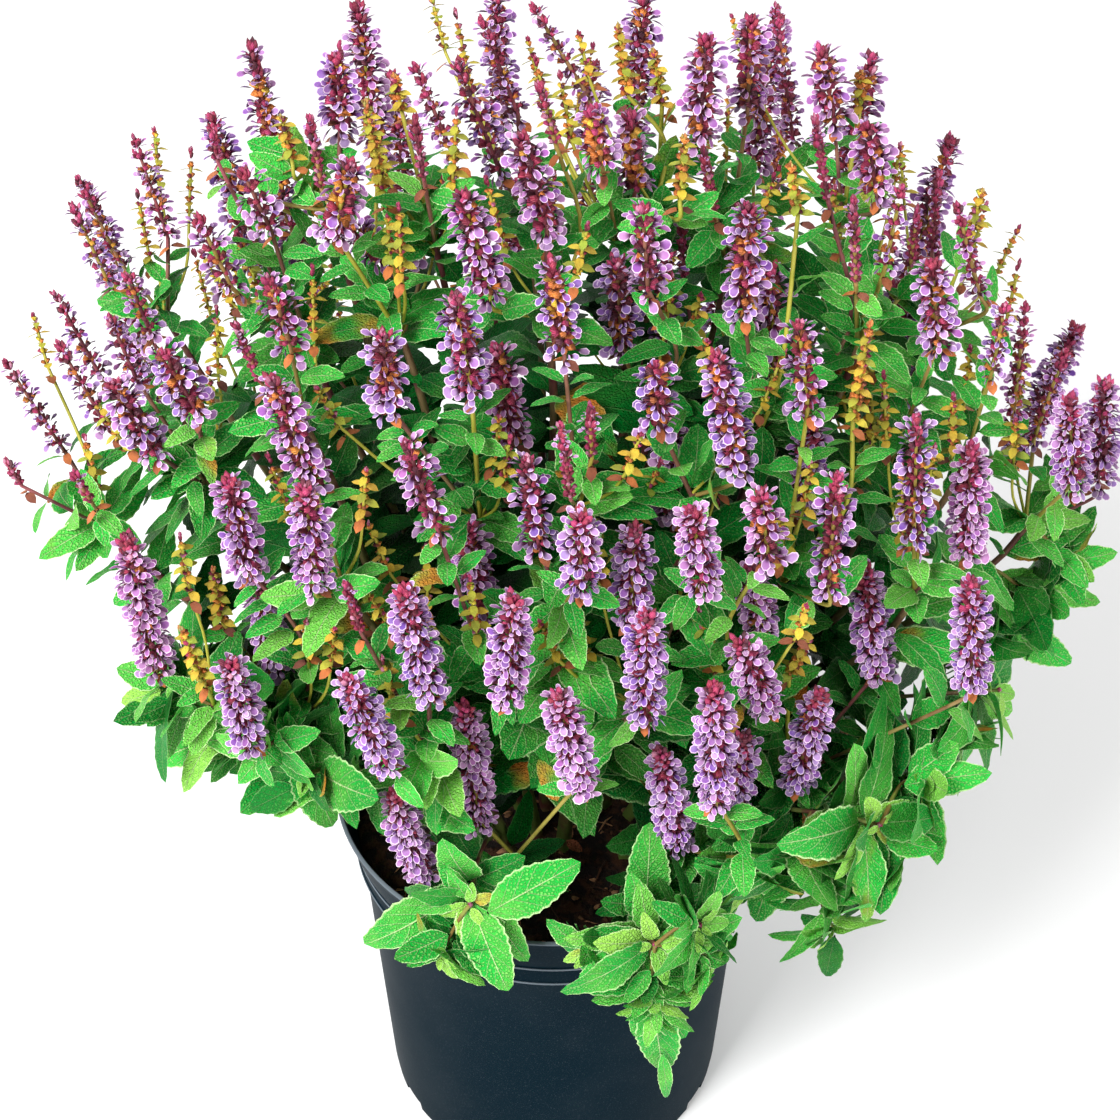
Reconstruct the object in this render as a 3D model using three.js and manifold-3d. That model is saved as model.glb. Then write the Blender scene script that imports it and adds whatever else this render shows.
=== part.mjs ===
// A potted perennial salvia (meadow sage) in full flower, in millimetres, +Z up, with the origin at the
// centre of the pot's foot. A round nursery pot holds a bed of potting soil. Square leafy stems stand in
// plain holes in the soil and fork into branches that carry opposite pairs of notched leaves. Each branch
// ends in a flower head: one to six spikes of florets on forked stalks.
//
// Nodes: pot, soil, stem_NN (a stem with its branches and leaves) and head_NN_M (the flower head on branch
// M of stem NN). Front is -Y.
import * as THREE from "three";
import { mergeVertices } from "three/addons/utils/BufferGeometryUtils.js";
import Module from "manifold-3d";

const wasm = await Module();
wasm.setup();

// ---------------------------------------------------------------- driving dimensions

const DEG = Math.PI / 180;
const GAP = 0.3; // left between pieces that touch

const POT = {
  height: 204,
  rimRadius: 106.5,
  collarHeight: 42,
  bandHeight: 12,
  collarRadius: 98,
  bodyRadius: 95.5,
  footRadius: 85,
  footRing: 9,
  wall: 2,
  floor: 2.5,
  notches: 6,
  notchWidth: 16,
  notchHeight: 6,
  notchDepth: 8,
  sides: 32,
};
const SOIL_TOP = 180; // the bed lies below the rim
const ROOT_DEPTH = 22; // how far a stem stands in the soil
const ROOT_SPREAD = 62; // how far from the middle the lowest stems root

// The flower tips lie on a rounded canopy, lower and nearer in front than at the sides.
const CANOPY = { centre: new THREE.Vector3(0, 45, 330), radii: new THREE.Vector3(266, 190, 265) };

// The spikes' places are read off a sight grid: a plane through `aim`, square to the line of sight of
// someone standing in front of the plant, in steps of `step` from its upper left corner.
const SIGHT = {
  aim: new THREE.Vector3(3, 0, 343),
  distance: 1050,
  elevation: 41 * DEG,
  step: 0.45,
  middle: 560,
};
const FORWARD_LEAN = 0.3; // share of the tip's bearing from the crown that a spike leans fore or aft

// A spike's widest radius, the height of a ring of florets, the points round a ring, and the share of the
// width that is left in the gaps.
const FORMS = {
  full: { radius: 11.5, pitch: 11.5, sides: 6, inner: 0.62 },
  slim: { radius: 7.5, pitch: 13, sides: 4, inner: 0.3 },
  bud: { radius: 6, pitch: 10, sides: 4, inner: 0.62 },
  spent: { radius: 6.5, pitch: 11, sides: 4, inner: 0.42 },
};
const RINGS = { least: 3, most: 5 };
const SLIDE = { step: 8, most: 96, clear: 1.5 };

const TRUNK_RADIUS = 4.2;
const COLLAR_RISE = 4; // where a trunk starts to lean, over the soil
const BRANCH_RADIUS = 2;
const BRANCH_SPACING = 7;
const BRANCH_CLEAR = 1;
const LEAF_SEAT = 1.7; // a leaf grows from a stretch of stem this far up and down
const STALK_SPLIT = 0.3; // nearer the fork than this share, stalks of one head touch
const STALK_CLEAR = 0.6;
const SHARP = { dot: 0.75, below: 9 }; // a stalk that meets its spike at more than this angle bends below it
const LEAF_SEAT_SHARE = 0.02; // mm3 of a leaf that may lie in its own branch
const BOW_STEPS = 4; // stretches into which a branch is split to see what it meets
// How far aside a stalk or branch may bow to clear its neighbours: none, then wider and wider all round.
const BOWS = [
  [0, 0],
  ...[12, 24, 36, 48].flatMap((far) => [0, 45, 90, 135, 180, 225, 270, 315].map((turn) => [far, turn])),
];
const STALK_RADIUS = 1.5;
const SIDE_STALK_SEAT = 4.5; // a head's other stalks each grow from this much of the main one
const HEAD_RADIUS = 1.8; // a head's main stalk below its spikes
const SEAT_SHARE = 0.05; // mm3 that two stalks of a head may share where they part
const FORK_BELOW = 18; // a head's stalks part this far below its lowest spike
const KNOT = 1.4; // the flat foot of a head's stalk reaches this far below its fork

// Stems, each a list of flower heads, each a list of spikes: form, then the tip's column and row on the
// sight grid, then the base's.
const FRONT_STEMS = [
  [
    [["slim", 2, 357, 61, 446], ["bud", 5, 459, 22, 486], ["bud", 72, 472, 92, 503]],
    [["full", 125, 535, 157, 667], ["spent", 179, 624, 204, 681]],
    [["full", 229, 479, 248, 568], ["full", 257, 568, 275, 662], ["full", 229, 660, 250, 742],
      ["spent", 212, 565, 222, 622]],
  ],
  [
    [["slim", 52, 288, 100, 375], ["slim", 55, 338, 110, 432], ["full", 111, 378, 154, 452],
      ["slim", 107, 312, 138, 382],
      ["full", 160, 348, 196, 410], ["slim", 125, 270, 150, 332]],
    [["slim", 75, 173, 120, 262], ["slim", 70, 200, 108, 282], ["slim", 132, 132, 168, 238]],
    [["full", 266, 271, 290, 345], ["bud", 234, 321, 262, 384]],
  ],
  [
    [["full", 195, 211, 232, 288], ["full", 240, 166, 270, 228], ["full", 268, 176, 306, 264],
      ["bud", 212, 130, 218, 162]],
    [["full", 337, 50, 340, 128], ["bud", 309, 114, 322, 190], ["spent", 280, 112, 292, 160]],
    [["full", 352, 160, 334, 232], ["full", 345, 226, 402, 266]],
  ],
  [
    [["spent", 364, 96, 384, 200], ["slim", 412, 59, 455, 160], ["bud", 414, 114, 424, 180],
      ["spent", 393, 71, 402, 112]],
    [["full", 455, 57, 500, 172], ["slim", 479, 14, 518, 114]],
    [["full", 520, 132, 547, 228], ["bud", 538, 82, 556, 145], ["full", 461, 188, 490, 292]],
  ],
  [
    [["slim", 529, 0, 590, 100], ["full", 589, 104, 602, 166], ["full", 628, 108, 636, 190]],
    [["spent", 617, 21, 628, 96], ["spent", 653, 46, 662, 106], ["spent", 685, 132, 680, 200]],
    [["full", 706, 32, 700, 138], ["bud", 703, 146, 714, 214], ["full", 751, 14, 748, 106],
      ["slim", 775, 0, 793, 140]],
  ],
  [
    [["full", 821, 46, 834, 120], ["spent", 860, 68, 860, 108], ["full", 867, 121, 876, 192]],
    [["slim", 903, 182, 885, 268], ["bud", 918, 205, 910, 268], ["bud", 853, 195, 856, 285]],
    [["bud", 939, 170, 932, 252], ["slim", 956, 200, 980, 296], ["spent", 983, 186, 972, 232]],
  ],
  [
    [["slim", 1006, 300, 992, 372], ["slim", 1026, 300, 1012, 430]],
    [["slim", 1067, 346, 1034, 439], ["full", 1106, 380, 1098, 480], ["full", 1070, 396, 1072, 484]],
    [["full", 917, 411, 914, 542], ["full", 971, 446, 967, 550]],
    [["full", 931, 257, 939, 343], ["full", 896, 282, 906, 396]],
  ],
  [
    [["full", 642, 200, 648, 290], ["full", 616, 256, 622, 345], ["full", 666, 246, 664, 345],
      ["bud", 681, 218, 684, 279]],
    [["bud", 814, 114, 828, 200], ["spent", 790, 161, 798, 215], ["full", 748, 200, 744, 312],
      ["full", 770, 262, 774, 368]],
    [["full", 716, 350, 738, 464], ["full", 656, 361, 658, 420]],
    [["full", 798, 316, 808, 408], ["spent", 871, 318, 853, 421], ["full", 812, 420, 802, 505],
      ["full", 838, 470, 828, 590]],
  ],
  [
    [["full", 382, 329, 389, 407], ["full", 454, 293, 471, 389], ["full", 496, 343, 514, 439]],
    [["full", 271, 375, 314, 482], ["full", 304, 486, 316, 581]],
    [["full", 550, 257, 564, 352], ["bud", 560, 421, 571, 500], ["bud", 589, 404, 592, 458]],
  ],
  [
    [["full", 525, 454, 539, 546], ["full", 581, 514, 581, 584]],
    [["full", 667, 414, 671, 511], ["full", 692, 508, 703, 585]],
    [["full", 635, 527, 631, 617], ["full", 646, 612, 646, 714]],
    [["full", 404, 436, 436, 525], ["full", 468, 523, 479, 617], ["full", 514, 596, 507, 694]],
  ],
  [
    [["full", 404, 589, 429, 692], ["full", 346, 676, 386, 762], ["bud", 345, 581, 361, 632]],
    [["full", 464, 703, 479, 820], ["full", 393, 792, 421, 871], ["full", 557, 692, 581, 781]],
  ],
  [
    [["full", 714, 685, 716, 800], ["full", 746, 735, 732, 806], ["full", 660, 749, 678, 842]],
    [["full", 760, 489, 768, 555], ["full", 749, 567, 762, 626], ["full", 739, 639, 765, 704]],
    [["full", 821, 692, 796, 781], ["spent", 812, 635, 789, 674], ["full", 864, 567, 878, 672],
      ["full", 971, 580, 971, 682]],
  ],
];

// The back of the canopy: stems, heads a stem, and a head's spikes: form, offset in bearing and height over
// the canopy's centre in degrees, and length.
const BACK = {
  stems: 2,
  heads: 3,
  spread: 26,
  spikes: [["full", -8, 16, 74], ["full", 8, 36, 80], ["full", -3, 57, 74]],
};

// Leafy shoots without flowers: the stem that carries each, the column and row on the sight grid at which
// its tip is seen, and the tip's y.
const SHOOTS = [
  { stem: 10, column: 470, row: 905, y: -118 },
  { stem: 11, column: 655, row: 945, y: -126 },
  { stem: 11, column: 880, row: 825, y: -104 },
  { stem: 6, column: 1000, row: 690, y: -44 },
  { stem: 10, column: 300, row: 775, y: -96 },
  { stem: 0, column: 165, row: 680, y: -64 },
];
const SHOOT_RISE = 0.3; // a shoot's end points outwards, and this much up

// Leaf pairs on a branch, from low to high: place along it, blade length, width as a share of it, and how
// far the leaf stands off the stem. A coarse one has fewer notches.
const LEAF_PAIRS = [
  { at: 0.4, length: 62, width: 0.45, angle: 66, coarse: false },
  { at: 0.8, length: 46, width: 0.47, angle: 62, coarse: true },
];
const SHOOT_PAIRS = [
  { at: 0.68, length: 44, width: 0.46, angle: 70, coarse: true },
  { at: 0.84, length: 56, width: 0.44, angle: 74, coarse: false },
  { at: 0.97, length: 40, width: 0.46, angle: 60, coarse: true },
];
const SEEDS_A_STEM = 16;
const BLADE = { thickness: 1.8, fold: 0.12, droop: 0.3, notch: 0.1 };
// A leaf that would touch another piece is shorter, stands off or sways by so many degrees, or is left out.
const LEAF_TRIES = [1, 0.8, 0.62].flatMap((shrink) =>
  [0, 14, -14, 28, -28].flatMap((lean) => [0, 18, -18, 36, -36].map((sway) => [shrink, lean, sway])),
);

// ---------------------------------------------------------------- small tools

const v = (x, y, z) => new THREE.Vector3(x, y, z);
const UP = v(0, 0, 1);
const mean = (points) => points.reduce((sum, p) => sum.add(p), v(0, 0, 0)).divideScalar(points.length);
const clamp = (value, low, high) => Math.min(Math.max(value, low), high);
const two = (n) => String(n + 1).padStart(2, "0");

/** A repeatable stream of numbers from 0 to 1. */
function stream(seed) {
  let state = Math.imul(seed + 1, 2654435761) >>> 0;
  return () => {
    state = (Math.imul(state, 1664525) + 1013904223) >>> 0;
    return state / 4294967296;
  };
}

/** The manifold solid of a closed three.js geometry. */
function solidOf(geometry) {
  const bare = new THREE.BufferGeometry();
  bare.setAttribute("position", geometry.getAttribute("position").clone());
  bare.setIndex(geometry.index ? geometry.index.clone() : null);
  const merged = mergeVertices(bare, 1e-4);
  return new wasm.Manifold(
    new wasm.Mesh({
      numProp: 3,
      vertProperties: new Float32Array(merged.attributes.position.array),
      triVerts: new Uint32Array(merged.index.array),
    }),
  );
}

/** The manifold solid of points and triangles. */
function solid(points, triangles) {
  const geometry = new THREE.BufferGeometry();
  const places = points.flatMap((p) => [p.x, p.y, p.z]);
  geometry.setAttribute("position", new THREE.Float32BufferAttribute(places, 3));
  geometry.setIndex(triangles.flat());
  return solidOf(geometry);
}

/** A named mesh of a manifold solid. */
function meshOf(name, made, material) {
  const m = made.getMesh();
  const geometry = new THREE.BufferGeometry();
  const places = new Float32Array(m.numVert * 3);
  for (let i = 0; i < m.numVert; i++) {
    places.set(m.vertProperties.subarray(i * m.numProp, i * m.numProp + 3), i * 3);
  }
  geometry.setAttribute("position", new THREE.BufferAttribute(places, 3));
  geometry.setIndex(new THREE.BufferAttribute(m.triVerts, 1));
  geometry.computeVertexNormals();
  const mesh = new THREE.Mesh(geometry, material);
  mesh.name = name;
  return mesh;
}

const joined = (solids) => solids.reduce((all, one) => all.add(one));
const boxesMeet = (a, b) => [0, 1, 2].every((i) => a.min[i] <= b.max[i] && b.min[i] <= a.max[i]);
const shared = (a, b) => (boxesMeet(a.boundingBox(), b.boundingBox()) ? a.intersect(b).volume() : 0);

/** Two directions square to `axis` and to each other. */
function sideways(axis) {
  const side = Math.abs(axis.z) > 0.9 ? v(1, 0, 0) : v(0, 0, 1);
  const a = side.addScaledVector(axis, -side.dot(axis)).normalize();
  return [a, axis.clone().cross(a)];
}

/** A ring of `sides` points round `centre`; `radiusOf` gives each point's radius. */
function ring(centre, [a, b], sides, radiusOf) {
  return Array.from({ length: sides }, (_, k) => {
    const turn = (2 * Math.PI * k) / sides;
    const r = radiusOf(k);
    return centre.clone().addScaledVector(a, r * Math.cos(turn)).addScaledVector(b, r * Math.sin(turn));
  });
}

/** Points and outward triangles, which together close to a body. */
class Skin {
  constructor() {
    this.points = [];
    this.faces = [];
  }

  /** Adds points and returns their numbers. */
  put(points) {
    return points.map((p) => this.points.push(p) - 1);
  }

  /** Closes an end with the ring's points in turn, seen from outside. */
  cap(numbers) {
    for (let k = 1; k + 1 < numbers.length; k++) this.faces.push([numbers[0], numbers[k], numbers[k + 1]]);
  }

  /** Joins two rings, which may differ in number. `crossing` picks a quad's diagonal where they don't. */
  bridge(lower, upper, crossing = () => true) {
    const [n, m] = [lower, upper].map((numbers) => (numbers.length > 1 ? numbers.length : 0));
    const low = (k) => lower[k % lower.length];
    const high = (k) => upper[k % upper.length];
    let [j, k] = [0, 0];
    while (j < n || k < m) {
      const stepLow = n === m && j === k ? crossing(j) : k >= m || (j < n && (j + 1) * m <= (k + 1) * n);
      this.faces.push(stepLow ? [low(j), low(j + 1), high(k)] : [low(j), high(k + 1), high(k)]);
      if (stepLow) j += 1;
      else k += 1;
    }
  }

  /** The four corners of a ring's side `k` up to the next ring, turning left seen from outside. */
  static side(lower, upper, k) {
    const next = (k + 1) % lower.length;
    return [lower[k], lower[next], upper[next], upper[k]];
  }

  /** Joins two rings of four except at the sides in `open`. */
  band(lower, upper, open) {
    for (let k = 0; k < 4; k++) {
      if (!open.includes(k)) this.cap(Skin.side(lower, upper, k));
    }
  }

  toSolid() {
    return solid(this.points, this.faces);
  }
}

/** A closed body through rings of points. */
function loft(rings) {
  const skin = new Skin();
  const numbers = rings.map((points) => skin.put(points));
  skin.cap([...numbers[0]].reverse());
  for (let i = 0; i + 1 < numbers.length; i++) skin.bridge(numbers[i], numbers[i + 1]);
  skin.cap(numbers[numbers.length - 1]);
  return skin.toSolid();
}

/** A square rod through points, tapering from radius `thick` to `thin`, with flat ends. */
function rod(points, thick, thin) {
  return loft(
    points.map((p, i) => {
      const [before, after] = [points[Math.max(i - 1, 0)], points[Math.min(i + 1, points.length - 1)]];
      const along = after.clone().sub(before).normalize();
      const r = thick + ((thin - thick) * i) / (points.length - 1);
      return ring(p, sideways(along), 4, () => r);
    }),
  );
}

// ---------------------------------------------------------------- where everything grows

const CROWN = v(0, 0, SOIL_TOP);

/** The eye's place and the direction from it through a place on the sight grid. */
function sightLine(column, row) {
  const towardsEye = v(0, -Math.cos(SIGHT.elevation), Math.sin(SIGHT.elevation));
  const upInView = v(0, Math.sin(SIGHT.elevation), Math.cos(SIGHT.elevation));
  const eye = SIGHT.aim.clone().addScaledVector(towardsEye, SIGHT.distance);
  const seen = SIGHT.aim.clone().addScaledVector(v(1, 0, 0), (column - SIGHT.middle) * SIGHT.step);
  seen.addScaledVector(upInView, (SIGHT.middle - row) * SIGHT.step);
  return { eye, direction: seen.sub(eye).normalize() };
}

/** Where a sight line first meets the canopy, or passes it most closely. */
function onCanopy(column, row) {
  const { eye, direction } = sightLine(column, row);
  const from = eye.clone().sub(CANOPY.centre).divide(CANOPY.radii);
  const way = direction.clone().divide(CANOPY.radii);
  const a = way.dot(way);
  const b = from.dot(way);
  const c = from.dot(from) - 1;
  const t = (-b - Math.sqrt(Math.max(b * b - a * c, 0))) / a;
  return eye.addScaledVector(direction, t);
}

/** A spike from its tip and the place at which its base is seen. It leans fore or aft by its bearing. */
function standing(form, tip, baseColumn, baseRow) {
  const lean = (FORWARD_LEAN * (tip.y - CROWN.y)) / (tip.z - CROWN.z);
  const { eye, direction } = sightLine(baseColumn, baseRow);
  const t = (tip.y - eye.y - lean * (tip.z - eye.z)) / (direction.y - lean * direction.z);
  return { form, tip, base: eye.addScaledVector(direction, t) };
}

/** A spike on the back of the canopy, by its bearing and its height over the canopy's centre, in degrees. */
function backSpike(form, bearing, height, length) {
  const flat = Math.cos(height * DEG);
  const out = v(Math.cos(bearing * DEG) * flat, Math.sin(bearing * DEG) * flat, Math.sin(height * DEG));
  const tip = out.multiply(CANOPY.radii).add(CANOPY.centre);
  const axis = tip.clone().sub(CROWN).normalize().multiplyScalar(0.4).addScaledVector(UP, 0.6).normalize();
  return { form, tip, base: tip.clone().addScaledVector(axis, -length) };
}

/** The shortest distance between two straight stretches, each from `base` to `tip`. */
function apart(one, other) {
  const d1 = one.tip.clone().sub(one.base);
  const d2 = other.tip.clone().sub(other.base);
  const r = one.base.clone().sub(other.base);
  const [a, e, f] = [d1.dot(d1), d2.dot(d2), d2.dot(r)];
  const [b, c] = [d1.dot(d2), d1.dot(r)];
  const s = clamp((b * f - c * e) / Math.max(a * e - b * b, 1e-6), 0, 1);
  const t = clamp((b * s + f) / e, 0, 1);
  const u = clamp((b * t - c) / a, 0, 1);
  return one.base.clone().addScaledVector(d1, u).distanceTo(other.base.clone().addScaledVector(d2, t));
}

/** A seen spike, slid back along its line of sight until it clears the spikes placed before it. */
function seenSpike([form, tipColumn, tipRow, baseColumn, baseRow], placed) {
  const first = onCanopy(tipColumn, tipRow);
  const { direction } = sightLine(tipColumn, tipRow);
  for (let slide = 0; ; slide += SLIDE.step) {
    const one = standing(form, first.clone().addScaledVector(direction, slide), baseColumn, baseRow);
    const room = (other) => FORMS[form].radius + FORMS[other.form].radius + SLIDE.clear;
    if (slide >= SLIDE.most || placed.every((other) => apart(one, other) > room(other))) {
      placed.push(one);
      return one;
    }
  }
}

/** Every stem as a list of heads, each a list of placed spikes: the seen ones, then those at the back. */
function placeSpikes() {
  const placed = [];
  const seen = FRONT_STEMS.map((stem) =>
    stem.map((head) => head.map((row) => seenSpike(row, placed))),
  );
  const count = BACK.stems * BACK.heads;
  const unseen = Array.from({ length: BACK.stems }, (_, s) =>
    Array.from({ length: BACK.heads }, (_, h) => {
      const bearing = 90 + (s * BACK.heads + h - (count - 1) / 2) * BACK.spread;
      return BACK.spikes.map(([form, aside, ...rest]) => backSpike(form, bearing + aside, ...rest));
    }),
  );
  return [...seen, ...unseen];
}

/** A head: its spikes, and the point and direction in which the branch below hands over to its stalks. */
function planHead(spikes) {
  const middle = mean(spikes.map((s) => s.base));
  const rise = mean(spikes.map((s) => s.tip.clone().sub(s.base).normalize()));
  const along = middle.clone().sub(CROWN).normalize().add(rise).normalize();
  const lowest = Math.max(...spikes.map((s) => middle.clone().sub(s.base).dot(along)));
  const below = lowest + SIDE_STALK_SEAT * (spikes.length - 1) + FORK_BELOW;
  return { spikes, along, fork: middle.clone().addScaledVector(along, -below) };
}

/** The straight stretches between points, as thick as `radius`. */
function stretches(points, radius, owner) {
  return points.slice(1).map((tip, i) => ({ base: points[i], tip, radius, owner }));
}

/** The end of a leafy shoot, and the way it points there: outwards. */
function planShoot({ column, row, y }) {
  const { eye, direction } = sightLine(column, row);
  const end = eye.clone().addScaledVector(direction, (y - eye.y) / direction.y);
  const outwards = v(end.x - CROWN.x, end.y - CROWN.y, 0).normalize();
  return { head: null, end, along: outwards.addScaledVector(UP, SHOOT_RISE).normalize(), pairs: SHOOT_PAIRS };
}

/** A stem's root and trunk. Its branches start a little apart, from the trunk's top downwards. */
function planTrunk(heads, stem) {
  const target = mean(heads.map((h) => h.fork));
  const bearing = Math.atan2(target.y - CROWN.y, target.x - CROWN.x);
  const away = target.clone().sub(CROWN);
  const spread = ROOT_SPREAD * (Math.hypot(away.x, away.y) / away.length());
  const root = v(spread * Math.cos(bearing), spread * Math.sin(bearing), SOIL_TOP);
  const collar = root.clone().addScaledVector(UP, COLLAR_RISE);
  const top = root.clone().lerp(target, 0.22).addScaledVector(UP, 8);
  const rise = top.clone().sub(collar).normalize();
  const ends = [
    ...heads.map((head) => ({ head, end: head.fork, along: head.along, pairs: LEAF_PAIRS })),
    ...SHOOTS.filter((one) => one.stem === stem).map(planShoot),
  ];
  return { root, collar, top, rise, ends };
}

/** A branch's curve from a start to an end, bowed aside by `bow`. */
function branchCurve(start, rise, end, along, bow) {
  const reach = start.distanceTo(end);
  const aside = stepAside(end.clone().sub(start).normalize(), bow);
  return new THREE.CubicBezierCurve3(
    start,
    start.clone().addScaledVector(rise, 0.35 * reach).add(aside),
    end.clone().addScaledVector(along, -0.35 * reach).add(aside),
    end,
  );
}

/** A step aside from a straight way: `bow` gives how far and, in degrees, which way round. */
function stepAside(straight, [far, turn]) {
  const [a, b] = sideways(straight);
  return a.multiplyScalar(far * Math.cos(turn * DEG)).addScaledVector(b, far * Math.sin(turn * DEG));
}

/** A stalk's bends: one where it is bowed aside, and one below a spike that it would meet too sharply. */
function stalkBends(start, one, bow) {
  const aside = stepAside(one.base.clone().sub(start).normalize(), bow);
  const bends = bow[0] ? [start.clone().lerp(one.base, 0.5).add(aside)] : [];
  const axis = one.tip.clone().sub(one.base).normalize();
  const arrival = one.base.clone().sub(bends[0] ?? start).normalize();
  if (arrival.dot(axis) < SHARP.dot) bends.push(one.base.clone().addScaledVector(axis, -SHARP.below));
  return bends;
}

/** Gives each spike of a head the bend of its stalk, clear of the other spikes and stalks. */
function bendStalks(head, taken) {
  const inLine = (one) => one.base.clone().sub(head.fork).normalize().dot(head.along);
  head.spikes.sort((p, q) => inLine(q) - inLine(p));
  for (const one of head.spikes) {
    const others = taken.filter(({ spike }) => spike !== one);
    const outer = (path) => [head.fork.clone().lerp(path[0], STALK_SPLIT), ...path];
    const free = (path) =>
      stretches(outer(path), STALK_RADIUS).every((part) =>
        others.every((other) => apart(part, other) > part.radius + other.radius + STALK_CLEAR),
      );
    const paths = BOWS.map((bow) => [...stalkBends(head.fork, one, bow), one.base]);
    const path = paths.find(free) ?? paths[0];
    one.bends = path.slice(0, -1);
    taken.push(...stretches(outer(path), STALK_RADIUS, head).map((part) => ({ ...part, spike: one })));
  }
}

/** Every stem with its branches, each bowed aside where it would meet another stem or a flower head. */
function placeStems() {
  const heads = placeSpikes().map((stem) => stem.map(planHead));
  const taken = heads.flat().flatMap((head) =>
    head.spikes.map((one) => ({ ...one, radius: FORMS[one.form].radius, owner: head, spike: one })),
  );
  heads.flat().forEach((head) => bendStalks(head, taken));
  const trunks = heads.map(planTrunk);
  trunks.forEach((trunk) => {
    taken.push(...stretches([trunk.root, trunk.collar, trunk.top], TRUNK_RADIUS, trunk));
  });
  return trunks.map((trunk) => {
    const branches = trunk.ends.map(({ head, end, along, pairs }, i) => {
      const start = trunk.top.clone().addScaledVector(trunk.rise, -BRANCH_SPACING * i);
      const others = taken.filter(({ owner }) => owner !== head && owner !== trunk);
      const free = (curve) =>
        stretches(curve.getPoints(BOW_STEPS), BRANCH_RADIUS).every((one) =>
          others.every((other) => apart(one, other) > one.radius + other.radius + BRANCH_CLEAR),
        );
      const curves = BOWS.map((bow) => branchCurve(start, trunk.rise, end, along, bow));
      const curve = curves.find(free) ?? curves[0];
      taken.push(...stretches(curve.getPoints(BOW_STEPS), BRANCH_RADIUS, trunk));
      return { head, curve, pairs };
    });
    return { ...trunk, branches };
  });
}

const STEMS = placeStems();

// ---------------------------------------------------------------- pot and soil

const MATERIALS = {
  pot: new THREE.MeshStandardMaterial({ color: 0x2b323c, roughness: 0.5, metalness: 0 }),
  soil: new THREE.MeshStandardMaterial({ color: 0x2a1c12, roughness: 1, metalness: 0 }),
  leaf: new THREE.MeshStandardMaterial({ color: 0x2f8f3a, roughness: 0.7, metalness: 0 }),
  flower: new THREE.MeshStandardMaterial({ color: 0x8a5bb5, roughness: 0.6, metalness: 0 }),
};

/** A body turned about the Z axis from a profile of radius and height. */
function turned(profile) {
  const points = profile.map(([r, z]) => new THREE.Vector2(r, z));
  return solidOf(new THREE.LatheGeometry(points, POT.sides).rotateX(Math.PI / 2));
}

/** The wall's inner radius at height z. */
function innerRadius(z) {
  const shoulder = POT.height - POT.collarHeight;
  const [low, high, from, to] = z < shoulder
    ? [POT.footRadius, POT.bodyRadius, 0, shoulder]
    : [POT.bodyRadius, POT.rimRadius, shoulder, POT.height];
  return low + ((high - low) * (z - from)) / (to - from) - POT.wall;
}

/** The pot: a tapered body with a foot ring and a flared collar, and notches at the foot that drain it. */
function pot() {
  const shoulder = POT.height - POT.collarHeight;
  const body = turned([
    [0, 0],
    [POT.footRadius, 0],
    [POT.footRadius + 2, POT.footRing],
    [POT.bodyRadius, shoulder],
    [POT.collarRadius, shoulder + 1.5],
    [POT.collarRadius + 0.5, shoulder + POT.bandHeight],
    [POT.rimRadius, POT.height],
    [innerRadius(POT.height), POT.height],
    [innerRadius(shoulder), shoulder],
    [innerRadius(POT.floor), POT.floor],
    [0, POT.floor],
  ]);
  const notch = new THREE.BoxGeometry(2 * POT.notchDepth, POT.notchWidth, 2 * POT.notchHeight);
  return Array.from({ length: POT.notches }, (_, i) => (2 * Math.PI * (i + 0.5)) / POT.notches).reduce(
    (made, turn) => made.subtract(solidOf(notch.clone().translate(POT.footRadius, 0, 0).rotateZ(turn))),
    body,
  );
}

/** The bed of potting soil, with a plain hole for each stem. */
function soil() {
  const shoulder = POT.height - POT.collarHeight;
  const bed = turned([
    [0, POT.floor + GAP],
    [innerRadius(POT.floor) - GAP, POT.floor + GAP],
    [innerRadius(shoulder) - GAP, shoulder],
    [innerRadius(SOIL_TOP) - GAP, SOIL_TOP],
    [0, SOIL_TOP],
  ]);
  return STEMS.reduce((made, { root }) => {
    const [low, high] = [-ROOT_DEPTH - GAP, 4].map((rise) => root.clone().addScaledVector(UP, rise));
    return made.subtract(rod([low, high], TRUNK_RADIUS + 2 * GAP, TRUNK_RADIUS + 2 * GAP));
  }, bed);
}

// ---------------------------------------------------------------- flower heads

/** Half-width of a spike at a share of its height. */
function spikeWidth(form, share) {
  const foot = 0.72 + 0.28 * Math.min(share / 0.18, 1);
  const top = share < 0.62 ? 1 : 1 - 0.62 * ((share - 0.62) / 0.38) ** 1.4;
  return FORMS[form].radius * foot * top;
}

/** The rings of a spike: florets as raised points with hollows between them, in a chequered pattern. */
function spikeRings({ form, tip, base }, frame) {
  const { pitch, sides, inner } = FORMS[form];
  const count = clamp(Math.round(tip.distanceTo(base) / pitch), RINGS.least, RINGS.most);
  return Array.from({ length: count }, (_, i) => {
    const share = (i + 0.5) / count;
    const width = spikeWidth(form, share);
    return ring(base.clone().lerp(tip, share), frame, sides, (k) => width * ((i + k) % 2 ? inner : 1));
  });
}

/** The two directions across a branch, carried along it from `roll` at its start without twisting. */
function carried(tangents, roll) {
  const [a, b] = sideways(tangents[0]);
  let across = a.multiplyScalar(Math.cos(roll)).addScaledVector(b, Math.sin(roll));
  return tangents.map((t) => {
    across = across.clone().addScaledVector(t, -across.dot(t)).normalize();
    return [across, t.clone().cross(across)];
  });
}

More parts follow.
